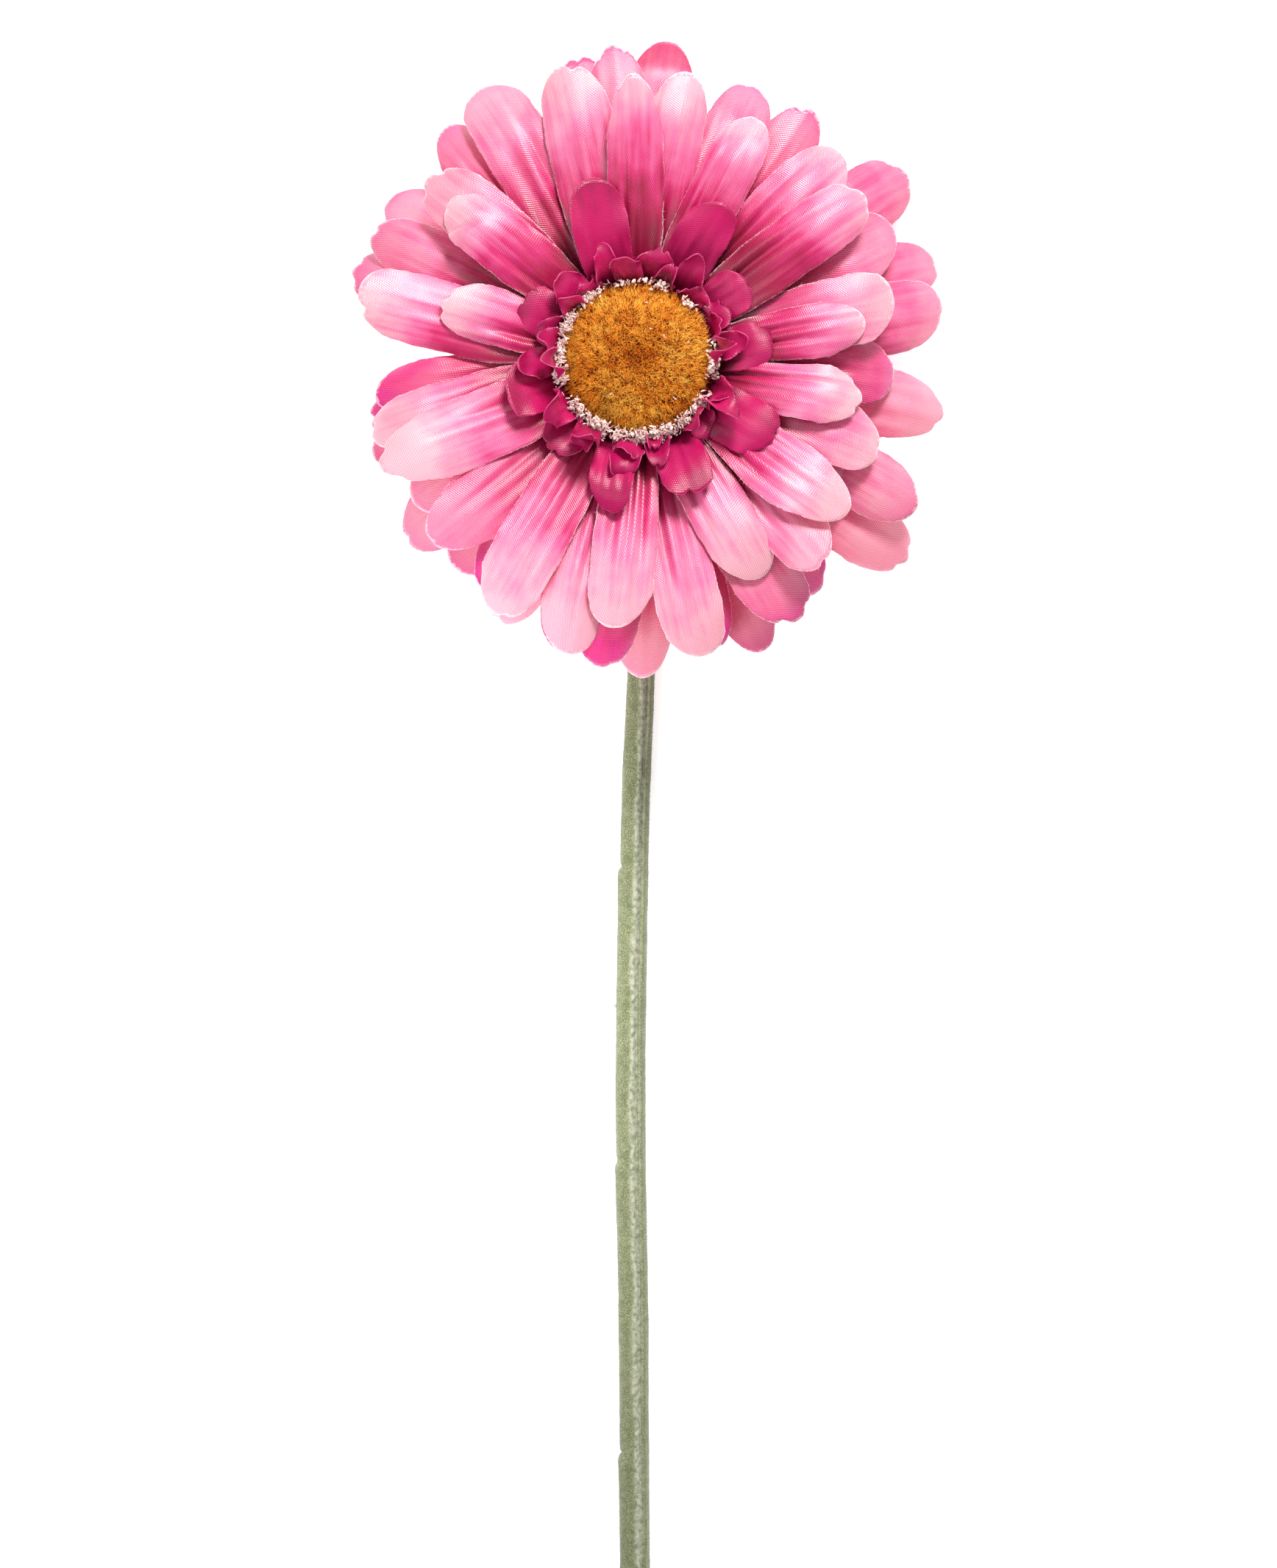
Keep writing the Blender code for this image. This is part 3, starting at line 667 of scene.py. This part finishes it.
def makePile(material):
    look = plushLook
    count = look["fibres"]
    share = np.sqrt(rng.random(count))
    angle = rng.uniform(0, math.tau, count)
    foot = discBottom / mm + domeHeight(share)
    radius = share * look["backingRadius"]
    root = np.stack([radius * np.cos(angle), radius * np.sin(angle), foot], axis=1)
    tuftShare = np.sqrt(rng.random(look["tufts"]))
    tuftAngle = rng.uniform(0, math.tau, look["tufts"])
    tuftFoot = np.stack([tuftShare * np.cos(tuftAngle), tuftShare * np.sin(tuftAngle)], axis=1)
    offsets = root[:, None, :2] / look["backingRadius"] - tuftFoot[None]
    nearest = np.argmin(np.sum(offsets**2, axis=2), axis=1)

    def outward(shares, angles, lean):
        tilt = 1.0 * shares**2
        way = np.stack([np.sin(tilt) * np.cos(angles), np.sin(tilt) * np.sin(angles), np.cos(tilt)], axis=1)
        way = way + lean
        return way / np.linalg.norm(way, axis=1)[:, None]

    length = look["pileLength"] * rng.uniform(0.72, 1.05, count) * (1 - 0.14 * share**3)
    ownTip = root + outward(share, angle, rng.normal(scale=0.5, size=(count, 3))) * length[:, None]
    tuftLean = rng.normal(scale=0.3, size=(look["tufts"], 3))
    tuftRoot = np.column_stack([tuftFoot * look["backingRadius"], discBottom / mm + domeHeight(tuftShare)])
    tuftTip = tuftRoot + outward(tuftShare, tuftAngle, tuftLean) * look["pileLength"]
    gathered = look["gathered"] * rng.random(count)[:, None]
    tip = ownTip * (1 - gathered) + tuftTip[nearest] * gathered
    middle = (root + tip) / 2 + outward(share, angle, 0) * 0.2 + rng.normal(scale=0.28, size=(count, 3))

    way = tip - root
    way /= np.linalg.norm(way, axis=1)[:, None]
    first = np.cross(way, rng.normal(size=(count, 3)))
    first /= np.linalg.norm(first, axis=1)[:, None]
    second = np.cross(way, first)
    rings = []
    for place, width in ((root, look["fibreWidth"]), (middle, 0.8 * look["fibreWidth"])):
        for n in range(3):
            turn = math.tau * n / 3
            rings.append(place + width / 2 * (math.cos(turn) * first + math.sin(turn) * second))
    rings.append(tip)
    points = np.stack(rings, axis=1).reshape(-1, 3)
    one = [(0, 2, 1), (3, 4, 6), (4, 5, 6), (5, 3, 6)]
    for n in range(3):
        one += [(n, (n + 1) % 3, 3 + (n + 1) % 3), (n, 3 + (n + 1) % 3, 3 + n)]
    faces = (np.array(one)[None] + 7 * np.arange(count)[:, None, None]).reshape(-1, 3)
    # dark at the root, painted shade among the fibres, pale at the tip
    depth = np.tile([0.0, 0.0, 0.0, 0.5, 0.5, 0.5, 0.95], count)
    tuftShade = rng.normal(scale=look["tuftShade"], size=look["tufts"])[nearest]
    shade = tuftShade + rng.normal(scale=look["fibreShade"], size=count)
    # painted shade: darker in the central dimple and round the rim; painted light: three broad paler lobes
    # round the dome
    shade = shade - look["centreShade"] * np.exp(-((share / look["centreWidth"]) ** 2))
    shade = shade - 0.3 * smoothStep(0.8, 1.0, share) + 0.12 * np.sin(3 * angle + 1) * share
    fibres = makeObject(
        "plush_pile", toWorld(points * mm), faces.tolist(), material,
        values={"depth": depth, "shade": np.repeat(shade, 7)},
    )
    finishPiece(fibres, "amber_plush", "disc_pile")


# Crumbs: torn flock, white with a little of the petals' pink: grains above, longer flakes below
crumbLook = {
    "flakes": 1250, "grains": 190, "clumps": 60, "clumpSpread": 0.06, "ringRadius": 13.3,
    "strayHeight": 2.4, "white": "#F2DCD8", "pink": "#C08880",
}


def makeCrumbMaterial():
    material, tree, shader = newMaterial(
        "tornFlock", Roughness=0.85, Sheen_Weight=0.5,
        Subsurface_Weight=0.3, Subsurface_Radius=(1.0, 0.8, 0.75), Subsurface_Scale=0.4 * mm,
    )
    place = addNode(tree, "ShaderNodeTexCoord").outputs["Object"]
    mottle = addNode(tree, "ShaderNodeTexNoise", {"Vector": place, "Scale": 900, "Detail": 2})
    dye = addNode(
        tree, "ShaderNodeValToRGB", {"Fac": mottle.outputs[0]},
        stops=[(0.35, crumbLook["pink"]), (0.6, crumbLook["white"])],
    )
    tree.links.new(dye.outputs[0], shader.inputs["Base Color"])
    return material


def makeCrumbs(material):
    # one crumb is modelled, then torn into different shapes and scattered round the pile's edge
    bpy.ops.mesh.primitive_ico_sphere_add(subdivisions=1, radius=1)
    model = bpy.context.object
    base = np.array([v.co for v in model.data.vertices])
    sides = np.array([p.vertices for p in model.data.polygons])
    bpy.data.objects.remove(model)
    clumps = rng.uniform(0, math.tau, crumbLook["clumps"])
    places = []
    while len(places) < crumbLook["flakes"] + crumbLook["grains"]:
        grain = len(places) >= crumbLook["flakes"]
        angle = rng.choice(clumps) + rng.normal(scale=crumbLook["clumpSpread"])
        below = 0.5 - 0.5 * math.sin(angle + 0.35)  # the ring is fullest at its lower left
        if rng.random() > (1 - 0.7 * below if grain else 0.32 + 0.68 * below):
            continue
        outer = rng.random()
        radius = crumbLook["ringRadius"] + (1.1 + 1.2 * below) * outer + rng.normal(scale=0.3)
        height = 3.2 - 2.7 * outer**1.4 + rng.normal(scale=0.35)
        if grain:
            size = rng.uniform(0.22, 0.46) * np.ones(3) * rng.uniform(0.8, 1.25, 3)
        else:
            size = np.array([rng.uniform(0.2, 0.75), rng.uniform(0.1, 0.34), rng.uniform(0.06, 0.18)])
        places.append((angle, radius, height, size))
    for turn, radius, height in ((176, 14.2, 3.4), (180, 14.8, 3.0), (184, 13.9, 3.7), (187, 14.5, 3.2)):
        for _ in range(5):  # a torn clump at the side
            size = np.array([rng.uniform(0.4, 0.8), rng.uniform(0.15, 0.3), rng.uniform(0.1, 0.2)])
            angle = math.radians(turn + rng.normal(scale=1.2))
            places.append((angle, radius, height + rng.normal(scale=0.2), size))
    for turn, share in ((62, 0.45), (35, 0.5), (80, 0.83), (236, 0.7), (312, 0.85), (15, 0.8)):
        size = np.array([0.5, 0.16, 0.12])  # astray on the pile
        height = crumbLook["strayHeight"] + float(domeHeight(share))
        places.append((math.radians(turn), share * 12, height, size))
    points, faces = [], []
    for n, (angle, radius, height, size) in enumerate(places):
        torn = base * rng.uniform(0.6, 1.3, size=(len(base), 1)) * size
        turn = Matrix.Rotation(angle + rng.normal(scale=0.8), 3, "Z")
        turn = turn @ Matrix.Rotation(rng.normal(scale=0.7), 3, "Y")
        turn = np.array(turn @ Matrix.Rotation(rng.uniform(0, 3), 3, "X"))
        middle = np.array([radius * math.cos(angle), radius * math.sin(angle), discBottom / mm + height])
        points.append(torn @ turn.T + middle)
        faces.append(sides + n * len(base))
    crumbs = makeObject("flock_crumbs", toWorld(np.vstack(points) * mm), np.vstack(faces).tolist(), material)
    crumbs.data.shade_flat()
    finishPiece(crumbs, "white_flock_crumbs", "crumb_ring")


plush = makePlushMaterial()
makeBacking(plush)
makePile(plush)
makeCrumbs(makeCrumbMaterial())
print("centre made")


# Stem: a foam strip wrapped round the wire and flocked with short nylon fibres. Its edges meet in a
# groove, and a clamp left a pinch mark at even distances.
stemShape = {
    "radius": 2.84, "neckRadius": 2.54, "bendRadius": 11, "bendStart": -11.8, "top": -5.8, "boreRadius": 1.15,
    "bow": [  # distance behind the head's middle and how far the stem strays to the right, in mm
        (0, 0), (58, 1.4), (66, 0.6), (80, -0.15), (125, -1.1), (155, -1.3), (180, -0.65), (220, -0.5),
        (310, 0.3), (340, 0.8),
    ],
    "groove": math.radians(24), "grooveDepth": 0.5, "crease": math.radians(10), "pinches": 99.8,
    "pinchSpacing": 57.6, "ringSpacing": 0.75, "ringPoints": 56, "bendSteps": 16, "gather": 0.495,
}
flockLook = {
    "fibres": 27000, "length": 0.4, "width": 0.085, "green": "#787E5E", "olive": "#575D3E",
    "pale": "#A1A688", "groove": "#ACAF9B", "looseShare": 0.16, "strayFibres": 26, "strayPlace": 126.9,
}


def stemRoute():
    # centreline in metres from the cup down to the cut end, at even steps, and the stem's radius there
    tilt = math.atan2(pegAxis.y, pegAxis.z)
    bend = stemShape["bendRadius"] * mm
    points = [headCentre + pegAxis * stemShape["top"] * mm]
    bendStart = headCentre + pegAxis * stemShape["bendStart"] * mm
    for n in range(stemShape["bendSteps"] + 1):
        heading = tilt + (math.pi / 2 - tilt) * n / stemShape["bendSteps"]
        back = bend * (math.cos(tilt) - math.cos(heading))
        down = bend * (math.sin(heading) - math.sin(tilt))
        points.append(bendStart + Vector((0, -back, -down)))
    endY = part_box("stem_sleeve")[0][1]
    lyingHeight = points[-1].z
    distances, offsets = zip(*stemShape["bow"])
    step = 4 * mm
    y = points[-1].y - step
    while y > endY + 0.5 * mm:
        behind = (headCentre.y - y) / mm
        spread = [np.interp(behind + d, distances, offsets) for d in range(-16, 17, 4)]  # smoothed
        x = headCentre.x + float(np.mean(spread)) * mm * min(1, behind / 40)
        points.append(Vector((x, y, lyingHeight)))
        y -= step
    points.append(Vector((points[-1].x, endY, lyingHeight)))
    points = np.array(points)
    lengths = np.concatenate([[0], np.cumsum(np.linalg.norm(np.diff(points, axis=0), axis=1))])
    steps = np.linspace(0, lengths[-1], int(lengths[-1] / (stemShape["ringSpacing"] * mm)))
    route = np.stack([np.interp(steps, lengths, points[:, n]) for n in range(3)], axis=1)
    behind = (headCentre.y - route[:, 1]) / mm
    fullness = np.clip((behind - 55) / 70, 0, 1)  # thin at the neck, full from 125 mm on
    radius = stemShape["neckRadius"] + (stemShape["radius"] - stemShape["neckRadius"]) * fullness
    route[:, 2] += (radius - stemShape["neckRadius"]) * mm * (behind > 20)
    return route, radius, behind


def wander(values, seed):
    # a slow, smooth, repeatable wobble from -1 to 1
    slow = np.sin(values + seed) + np.sin(1.7 * values + 2.1 * seed)
    return (slow + np.sin(3.1 * values + seed * seed)) / 3


def stemFrames(route):
    way = np.gradient(route, axis=0)
    way /= np.linalg.norm(way, axis=1)[:, None]
    side = np.array([1.0, 0, 0]) - way * way[:, :1]
    side /= np.linalg.norm(side, axis=1)[:, None]
    return side, np.cross(way, side)


def stemSkin(angle, behind, radius):
    # distance of the foam's surface from the centreline in mm, and how much of the groove's lint is there
    centre = stemShape["groove"] + math.radians(4) * wander(behind / 19, 3)
    away = np.angle(np.exp(1j * (angle - centre)))
    width = math.radians(9.5) * (1 + 0.25 * wander(behind / 7, 5))
    inGroove = np.exp(-((away / width) ** 2))
    crease = np.exp(-(((away - stemShape["crease"]) / (0.35 * width)) ** 2))
    lips = 0.12 * np.exp(-(((np.abs(away) - 2.1 * width) / width) ** 2))
    skin = radius + lips - stemShape["grooveDepth"] * inGroove - 0.4 * crease
    lint = np.exp(-(((away + 0.9 * width) / (2.1 * width)) ** 4))
    skin = skin + lint * (0.12 + 0.14 * wander(behind / 1.1, 4))
    skin = skin + 0.03 * wander(behind / 1.7 + 3 * np.sin(angle), 7)
    skin = skin + 0.05 * wander(behind / 6 + 2 * np.cos(angle), 2)
    for n in range(-1, 6):  # pinch marks, with a swelling behind each
        along = behind - stemShape["pinches"] - stemShape["pinchSpacing"] * n
        around = np.exp(-((np.angle(np.exp(1j * (angle + math.pi / 2))) / 0.75) ** 2))
        swell = np.where(along > 0, 0.3 * np.exp(-along / 9), -0.12 * np.exp(along / 7))
        skin = skin + around * (swell - 0.42 * np.exp(-((along / 0.6) ** 2)))
    return skin, lint


def makeFlockMaterial(name, bumpStrength):
    material, tree, shader = newMaterial(
        name, Roughness=0.95, Sheen_Weight=0.35, Sheen_Roughness=0.5, Specular_IOR_Level=0.15
    )
    place = addNode(tree, "ShaderNodeTexCoord").outputs["Object"]
    lint = addNode(tree, "ShaderNodeAttribute", attribute_name="lint").outputs["Fac"]
    shade = addNode(tree, "ShaderNodeAttribute", attribute_name="shade").outputs["Fac"]
    grain = addNode(tree, "ShaderNodeTexNoise", {"Vector": place, "Scale": 1 / (0.2 * mm), "Detail": 2})
    blotches = addNode(tree, "ShaderNodeTexNoise", {"Vector": place, "Scale": 1 / (1.6 * mm), "Detail": 3})
    mottle = addNode(
        tree, "ShaderNodeMix", {"Factor": 0.22, 2: grain.outputs[0], 3: blotches.outputs[0]},
        data_type="FLOAT",
    )
    tone = addNode(tree, "ShaderNodeMath", {0: mottle.outputs[0], 1: shade}, operation="ADD")
    dye = addNode(
        tree, "ShaderNodeValToRGB", {"Fac": tone.outputs[0]},
        stops=[(0.36, flockLook["olive"]), (0.5, flockLook["green"]), (0.68, flockLook["pale"])],
    )
    ragged = addNode(tree, "ShaderNodeTexNoise", {"Vector": place, "Scale": 1 / (0.9 * mm), "Detail": 3})
    thickness = addNode(
        tree, "ShaderNodeMapRange",
        {"Value": ragged.outputs[0], "From Min": 0.35, "From Max": 0.62, "To Min": 0.15},
    )
    lintShare = addNode(
        tree, "ShaderNodeMath", {0: lint, 1: thickness.outputs[0]}, operation="MULTIPLY", use_clamp=True
    )
    mixed = addNode(
        tree, "ShaderNodeMix",
        {"Factor": lintShare.outputs[0], 6: dye.outputs[0], 7: toLinear(flockLook["groove"])},
        data_type="RGBA",
    )
    tree.links.new(mixed.outputs[2], shader.inputs["Base Color"])
    bump = addNode(
        tree, "ShaderNodeBump", {"Height": grain.outputs[0], "Strength": bumpStrength, "Distance": 0.2 * mm}
    )
    tree.links.new(bump.outputs[0], shader.inputs["Normal"])
    return material


def makeSleeve(material, route, radius, behind):
    count = stemShape["ringPoints"]
    side, up = stemFrames(route)
    angle = stemShape["groove"] + np.linspace(0, math.tau, count, endpoint=False)
    closer = stemShape["gather"] * np.sin(angle - stemShape["groove"])
    angle = angle - closer  # more points at the groove
    angle = angle[None, :] + 0 * behind[:, None]
    skin, lint = stemSkin(angle, behind[:, None], radius[:, None])
    ring = np.sin(angle)[..., None] * side[:, None] + np.cos(angle)[..., None] * up[:, None]
    outer = route[:, None] + ring * skin[..., None] * mm
    inner = route[:, None] + ring * (0 * skin + stemShape["boreRadius"])[..., None] * mm
    rows = len(route)
    cell = np.arange(rows * count).reshape(rows, count)
    nextCell = np.roll(cell, -1, axis=1)
    wall = np.stack([cell[:-1], nextCell[:-1], nextCell[1:], cell[1:]], axis=-1).reshape(-1, 4)
    innerWall = wall[:, ::-1] + rows * count
    ends = []
    for row, step in ((0, -1), (rows - 1, 1)):
        edge, nextEdge = cell[row], nextCell[row]
        quad = np.stack([edge, nextEdge, nextEdge + rows * count, edge + rows * count], axis=-1)
        ends.append(quad[:, ::step])
    points = np.vstack([outer.reshape(-1, 3), inner.reshape(-1, 3)])
    faces = np.vstack([wall, innerWall, *ends])
    values = {"lint": np.concatenate([lint.ravel(), 0 * lint.ravel()]), "shade": np.zeros(len(points)) - 0.05}
    sleeve = makeObject("stem_flocked_sleeve", points, faces.tolist(), material, values=values)
    pointOutwards(sleeve)
    finishPiece(sleeve, "green_flock", "stem_sleeve")


def makeFlock(material, route, radius, behind):
    count = flockLook["fibres"]
    side, up = stemFrames(route)
    row = rng.uniform(0, len(route) - 1.001, count)
    angle = rng.uniform(0, math.tau, count)
    loose = rng.random(count) < flockLook["looseShare"]  # lint caught in the groove
    angle = np.where(loose, stemShape["groove"] + rng.normal(-0.1, 0.18, count), angle)
    low = row.astype(int)
    part = (row - low)[:, None]
    middle = route[low] * (1 - part) + route[low + 1] * part
    back = behind[low] * (1 - part[:, 0]) + behind[low + 1] * part[:, 0]
    skin, lint = stemSkin(angle, back, radius[low])
    out = np.sin(angle)[:, None] * side[low] + np.cos(angle)[:, None] * up[low]
    roots = middle / mm + out * (skin - 0.06)[:, None]
    ways = out + rng.normal(scale=0.5, size=out.shape)
    ways /= np.linalg.norm(ways, axis=1)[:, None]
    lengths = flockLook["length"] * rng.uniform(0.5, 1.15, count) * (1 + 1.1 * (rng.random(count) > 0.99))
    shade = rng.normal(scale=0.13, size=count)

    # one pale tuft that has come loose at the side
    strays = flockLook["strayFibres"]
    stray = np.argmin(np.abs(behind - flockLook["strayPlace"]))
    foot = route[stray] / mm - side[stray] * (radius[stray] - 0.1)
    tuft = rng.normal(scale=(0.5, 0.25, 0.15), size=(strays, 3)) + foot
    tuftWays = -side[stray] + np.array([0, 0.1, 0.25]) + rng.normal(scale=0.3, size=(strays, 3))
    roots = np.vstack([roots, tuft])
    ways = np.vstack([ways, tuftWays / np.linalg.norm(tuftWays, axis=1)[:, None]])
    lengths = np.concatenate([lengths, rng.uniform(0.8, 1.9, strays)])
    shade = np.concatenate([shade, np.full(strays, 0.4)])
    lint = np.concatenate([lint, np.full(strays, 0.5)])
    points, faces = fraySpikes(roots, ways, lengths, flockLook["width"])
    points[:, 2] = np.maximum(points[:, 2], 0.03)  # none goes under the surface
    fibres = makeObject(
        "stem_flock", points * mm, faces.tolist(), material,
        values={"lint": np.repeat(lint, 4), "shade": np.repeat(shade, 4)},
    )
    finishPiece(fibres, "green_flock")


stemPath, stemRadii, stemBehind = stemRoute()
makeSleeve(makeFlockMaterial("flockedFoam", 0.6), stemPath, stemRadii, stemBehind)
makeFlock(makeFlockMaterial("nylonFlock", 0.0), stemPath, stemRadii, stemBehind)
print("stem made")


# Cup and sepals: polyethylene, moulded in dull green, with a shallow flute under each sepal
calyxLook = {
    "sepals": 14, "reach": 19.0, "width": 4.2, "flutes": 0.035, "green": "#5F7A45", "vein": "#8FA56C",
    "outline": [(8.0, -1.3), (7.9, -2.2), (7.4, -4.0), (6.1, -6.3), (4.7, -8.4), (3.9, -10.3), (3.4, -10.8)],
    "inside": [(2.95, -10.6), (2.9, -6.2), (2.4, -6.0), (2.4, -1.3)],
}


def makeCalyxMaterial():
    material, tree, shader = newMaterial("mouldedPolyethylene", Roughness=0.5, IOR=1.51)
    place = addNode(tree, "ShaderNodeTexCoord").outputs["Object"]
    cloud = addNode(tree, "ShaderNodeTexNoise", {"Vector": place, "Scale": 180, "Detail": 3})
    dye = addNode(
        tree, "ShaderNodeValToRGB", {"Fac": cloud.outputs[0]},
        stops=[(0.35, calyxLook["green"]), (0.75, calyxLook["vein"])],
    )
    tree.links.new(dye.outputs[0], shader.inputs["Base Color"])
    grain = addNode(tree, "ShaderNodeTexNoise", {"Vector": place, "Scale": 1 / (0.35 * mm), "Detail": 2})
    bump = addNode(
        tree, "ShaderNodeBump", {"Height": grain.outputs[0], "Strength": 0.2, "Distance": 0.05 * mm}
    )
    tree.links.new(bump.outputs[0], shader.inputs["Normal"])
    return material


def makeCup(material):
    rings = calyxLook["outline"] + calyxLook["inside"]
    firstRadius, firstHeight = rings[0]
    bpy.ops.mesh.primitive_circle_add(vertices=84, radius=firstRadius * mm, location=(0, 0, firstHeight * mm))
    cup = bpy.context.object
    cup.name = "calyx_moulded_cup"
    bpy.ops.object.transform_apply(location=True)
    bpy.ops.object.mode_set(mode="EDIT")
    bpy.ops.mesh.select_all(action="SELECT")
    for (lastRadius, lastHeight), (radius, height) in zip(rings, rings[1:]):
        bpy.ops.mesh.extrude_region_move(TRANSFORM_OT_translate={"value": (0, 0, (height - lastHeight) * mm)})
        scale = radius / lastRadius
        bpy.ops.transform.resize(value=(scale, scale, 1), center_override=(0, 0, height * mm))
    bpy.ops.mesh.select_all(action="DESELECT")
    bpy.ops.mesh.select_non_manifold()
    bpy.ops.mesh.bridge_edge_loops()
    bpy.ops.mesh.select_all(action="SELECT")
    bpy.ops.mesh.normals_make_consistent(inside=False)
    bpy.ops.object.mode_set(mode="OBJECT")
    for vert in cup.data.vertices:
        radius = math.hypot(vert.co.x, vert.co.y)
        if radius > 3.2 * mm:  # the bore stays round
            angle = math.atan2(vert.co.y, vert.co.x)
            flute = 1 - calyxLook["flutes"] * (1 + math.cos(calyxLook["sepals"] * angle))
            vert.co.x *= flute
            vert.co.y *= flute
    cup.data.transform(headMatrix)
    cup.data.materials.append(material)
    applyModifier(cup, "BEVEL", width=0.12 * mm, segments=2, limit_method="ANGLE")
    cup.data.shade_smooth()
    finishPiece(cup, "green_moulded_plastic", "calyx_cup")


def makeSepals(material):
    # one pointed sepal with a folded midrib, copied round the cup in two overlapping whorls
    bpy.ops.mesh.primitive_grid_add(x_subdivisions=8, y_subdivisions=14, size=1)
    model = bpy.context.object
    for vert in model.data.vertices:
        across, along = 2 * vert.co.x, vert.co.y + 0.5
        half = 0.5 * calyxLook["width"] * (0.62 + 0.38 * math.sin(math.pi * min(1, along / 0.6) / 2))
        half *= math.sqrt(max(0, 1 - max(0, (along - 0.35) / 0.65) ** 1.6)) + 0.02
        reach = 3 + (calyxLook["reach"] - 3) * along
        rib = -0.3 * math.exp(-((across / 0.18) ** 2)) * (1 - 0.6 * along)
        cupped = 0.35 * across**2 * math.sin(math.pi * along)
        droop = -0.12 * max(0, reach - 8) - 0.006 * max(0, reach - 8) ** 2
        vert.co = Vector((across * half, reach, -0.55 + droop + rib + cupped)) * mm
    copies = []
    for whorl, (lower, size) in enumerate(((0, 1.0), (0.5, 0.86))):
        for n in range(calyxLook["sepals"]):
            copy = model.copy()
            copy.data = model.data.copy()
            bpy.context.scene.collection.objects.link(copy)
            turn = math.tau * (n + 0.5 * whorl) / calyxLook["sepals"]
            own = size * (1 + 0.06 * math.sin(3.7 * n + whorl))
            place = Matrix.Rotation(turn, 4, "Z") @ Matrix.Diagonal((1, own, 1, 1))
            copy.data.transform(Matrix.Translation((0, 0, -lower * mm)) @ place)
            copies.append(copy)
    bpy.data.objects.remove(model)
    bpy.ops.object.select_all(action="DESELECT")
    for copy in copies:
        copy.select_set(True)
    bpy.context.view_layer.objects.active = copies[0]
    bpy.ops.object.join()
    sepals = bpy.context.object
    sepals.name = "calyx_sepals"
    sepals.data.transform(headMatrix)
    sepals.data.materials.append(material)
    applyModifier(sepals, "SOLIDIFY", thickness=0.3 * mm, offset=0)
    sepals.data.shade_smooth()
    sepals.select_set(False)
    finishPiece(sepals, "green_moulded_plastic", "sepal_ring")


calyxPlastic = makeCalyxMaterial()
makeCup(calyxPlastic)
makeSepals(calyxPlastic)
print("calyx made")


# Pieces that keep their first shape: the wire, the peg, its rings and the core of the disc, each with
# its nodes, colour, roughness, metallic and grain in mm
keptFinishes = {
    "drawnSteelWire": (["stem_wire"], "#9C9C98", 0.32, 1.0, 0.05),
    "naturalPolypropylene": (["hub_peg"] + [f"spacer_{n}" for n in range(1, 8)], "#DAD9D0", 0.38, 0.0, 0.3),
    "brownPolystyrene": (["disc_base"], "#7A3F12", 0.5, 0.0, 0.3),
}
for name, (nodeNames, colour, rough, metallic, grainSize) in keptFinishes.items():
    material, tree, shader = newMaterial(name, Metallic=metallic)
    place = addNode(tree, "ShaderNodeTexCoord").outputs["Object"]
    grain = addNode(tree, "ShaderNodeTexNoise", {"Vector": place, "Scale": 1 / (grainSize * mm), "Detail": 2})
    tone = addNode(
        tree, "ShaderNodeMix", {"Factor": grain.outputs[0], 6: toLinear(colour), 7: darker(colour, 0.8)},
        data_type="RGBA",
    )
    tree.links.new(tone.outputs[2], shader.inputs["Base Color"])
    gloss = addNode(
        tree, "ShaderNodeMapRange", {"Value": grain.outputs[0], "To Min": rough - 0.06, "To Max": rough + 0.1}
    )
    tree.links.new(gloss.outputs[0], shader.inputs["Roughness"])
    for nodeName in nodeNames:
        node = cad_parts[nodeName]
        node.data.materials.clear()
        node.data.materials.append(material)
print("kept pieces finished")


# Floor, lights and camera
view = {
    "distance": 1.6, "tilt": math.radians(-13.8), "frameHeight": 0.2836, "below": 77.4 * mm,
    "aside": 0.3 * mm, "sensor": 24, "roomLight": 0.29,
}


def makeFloor():
    bpy.ops.mesh.primitive_plane_add(size=12)
    floor = bpy.context.object
    floor.name = "studio_floor"
    opalTable = newMaterial(  # a white table lit from below
        "opalTable", Roughness=0.7, Base_Color=toLinear("#F4F3F1"),
        Emission_Color=(1, 1, 1, 1), Emission_Strength=0.62,
    )
    floor.data.materials.append(opalTable[0])


def addLight(name, place, size, watts, colour, target=discMiddle, glossy=True):
    data = bpy.data.lights.new(name, "AREA")
    data.size = size
    data.energy = watts
    data.color = toLinear(colour)[:3]
    lamp = bpy.data.objects.new(name, data)
    lamp.location = place
    lamp.visible_camera = False
    lamp.visible_glossy = glossy
    lamp.rotation_euler = (target - Vector(place)).to_track_quat("-Z", "Y").to_euler()
    bpy.context.scene.collection.objects.link(lamp)


def makeCamera():
    data = bpy.data.cameras.new("camera")
    data.sensor_fit = "VERTICAL"
    data.sensor_height = view["sensor"]
    data.lens = view["sensor"] * view["distance"] / view["frameHeight"]
    camera = bpy.data.objects.new("camera", data)
    camera.rotation_euler = (view["tilt"], 0, 0)
    turned = camera.rotation_euler.to_matrix()
    aim = discMiddle - turned @ Vector((0, view["below"], 0))
    camera.location = aim + turned @ Vector((view["aside"], 0, view["distance"]))
    bpy.context.scene.collection.objects.link(camera)
    bpy.context.scene.camera = camera


makeFloor()
addLight("key", (0.3, 1.4, 1.0), 0.4, 35, "#FFFBF6")
addLight("front", (-0.6, 0.5, 1.4), 0.8, 6, "#FFFDFB")
addLight("side", (1.1, 0.3, 0.6), 0.6, 2.4, "#F6F8FF")
addLight("stemLight", (-0.08, 0.05, 0.1), 0.08, 0.23, "#FFFFFF", Vector((0, 0.1, 0)), False)
world = bpy.data.worlds.new("studio")
world.use_nodes = True
background = world.node_tree.nodes["Background"]
background.inputs[0].default_value = (1, 1, 1, 1)
background.inputs[1].default_value = view["roomLight"]
bpy.context.scene.world = world
bpy.context.scene.view_settings.view_transform = "Standard"
makeCamera()
print("stage made")
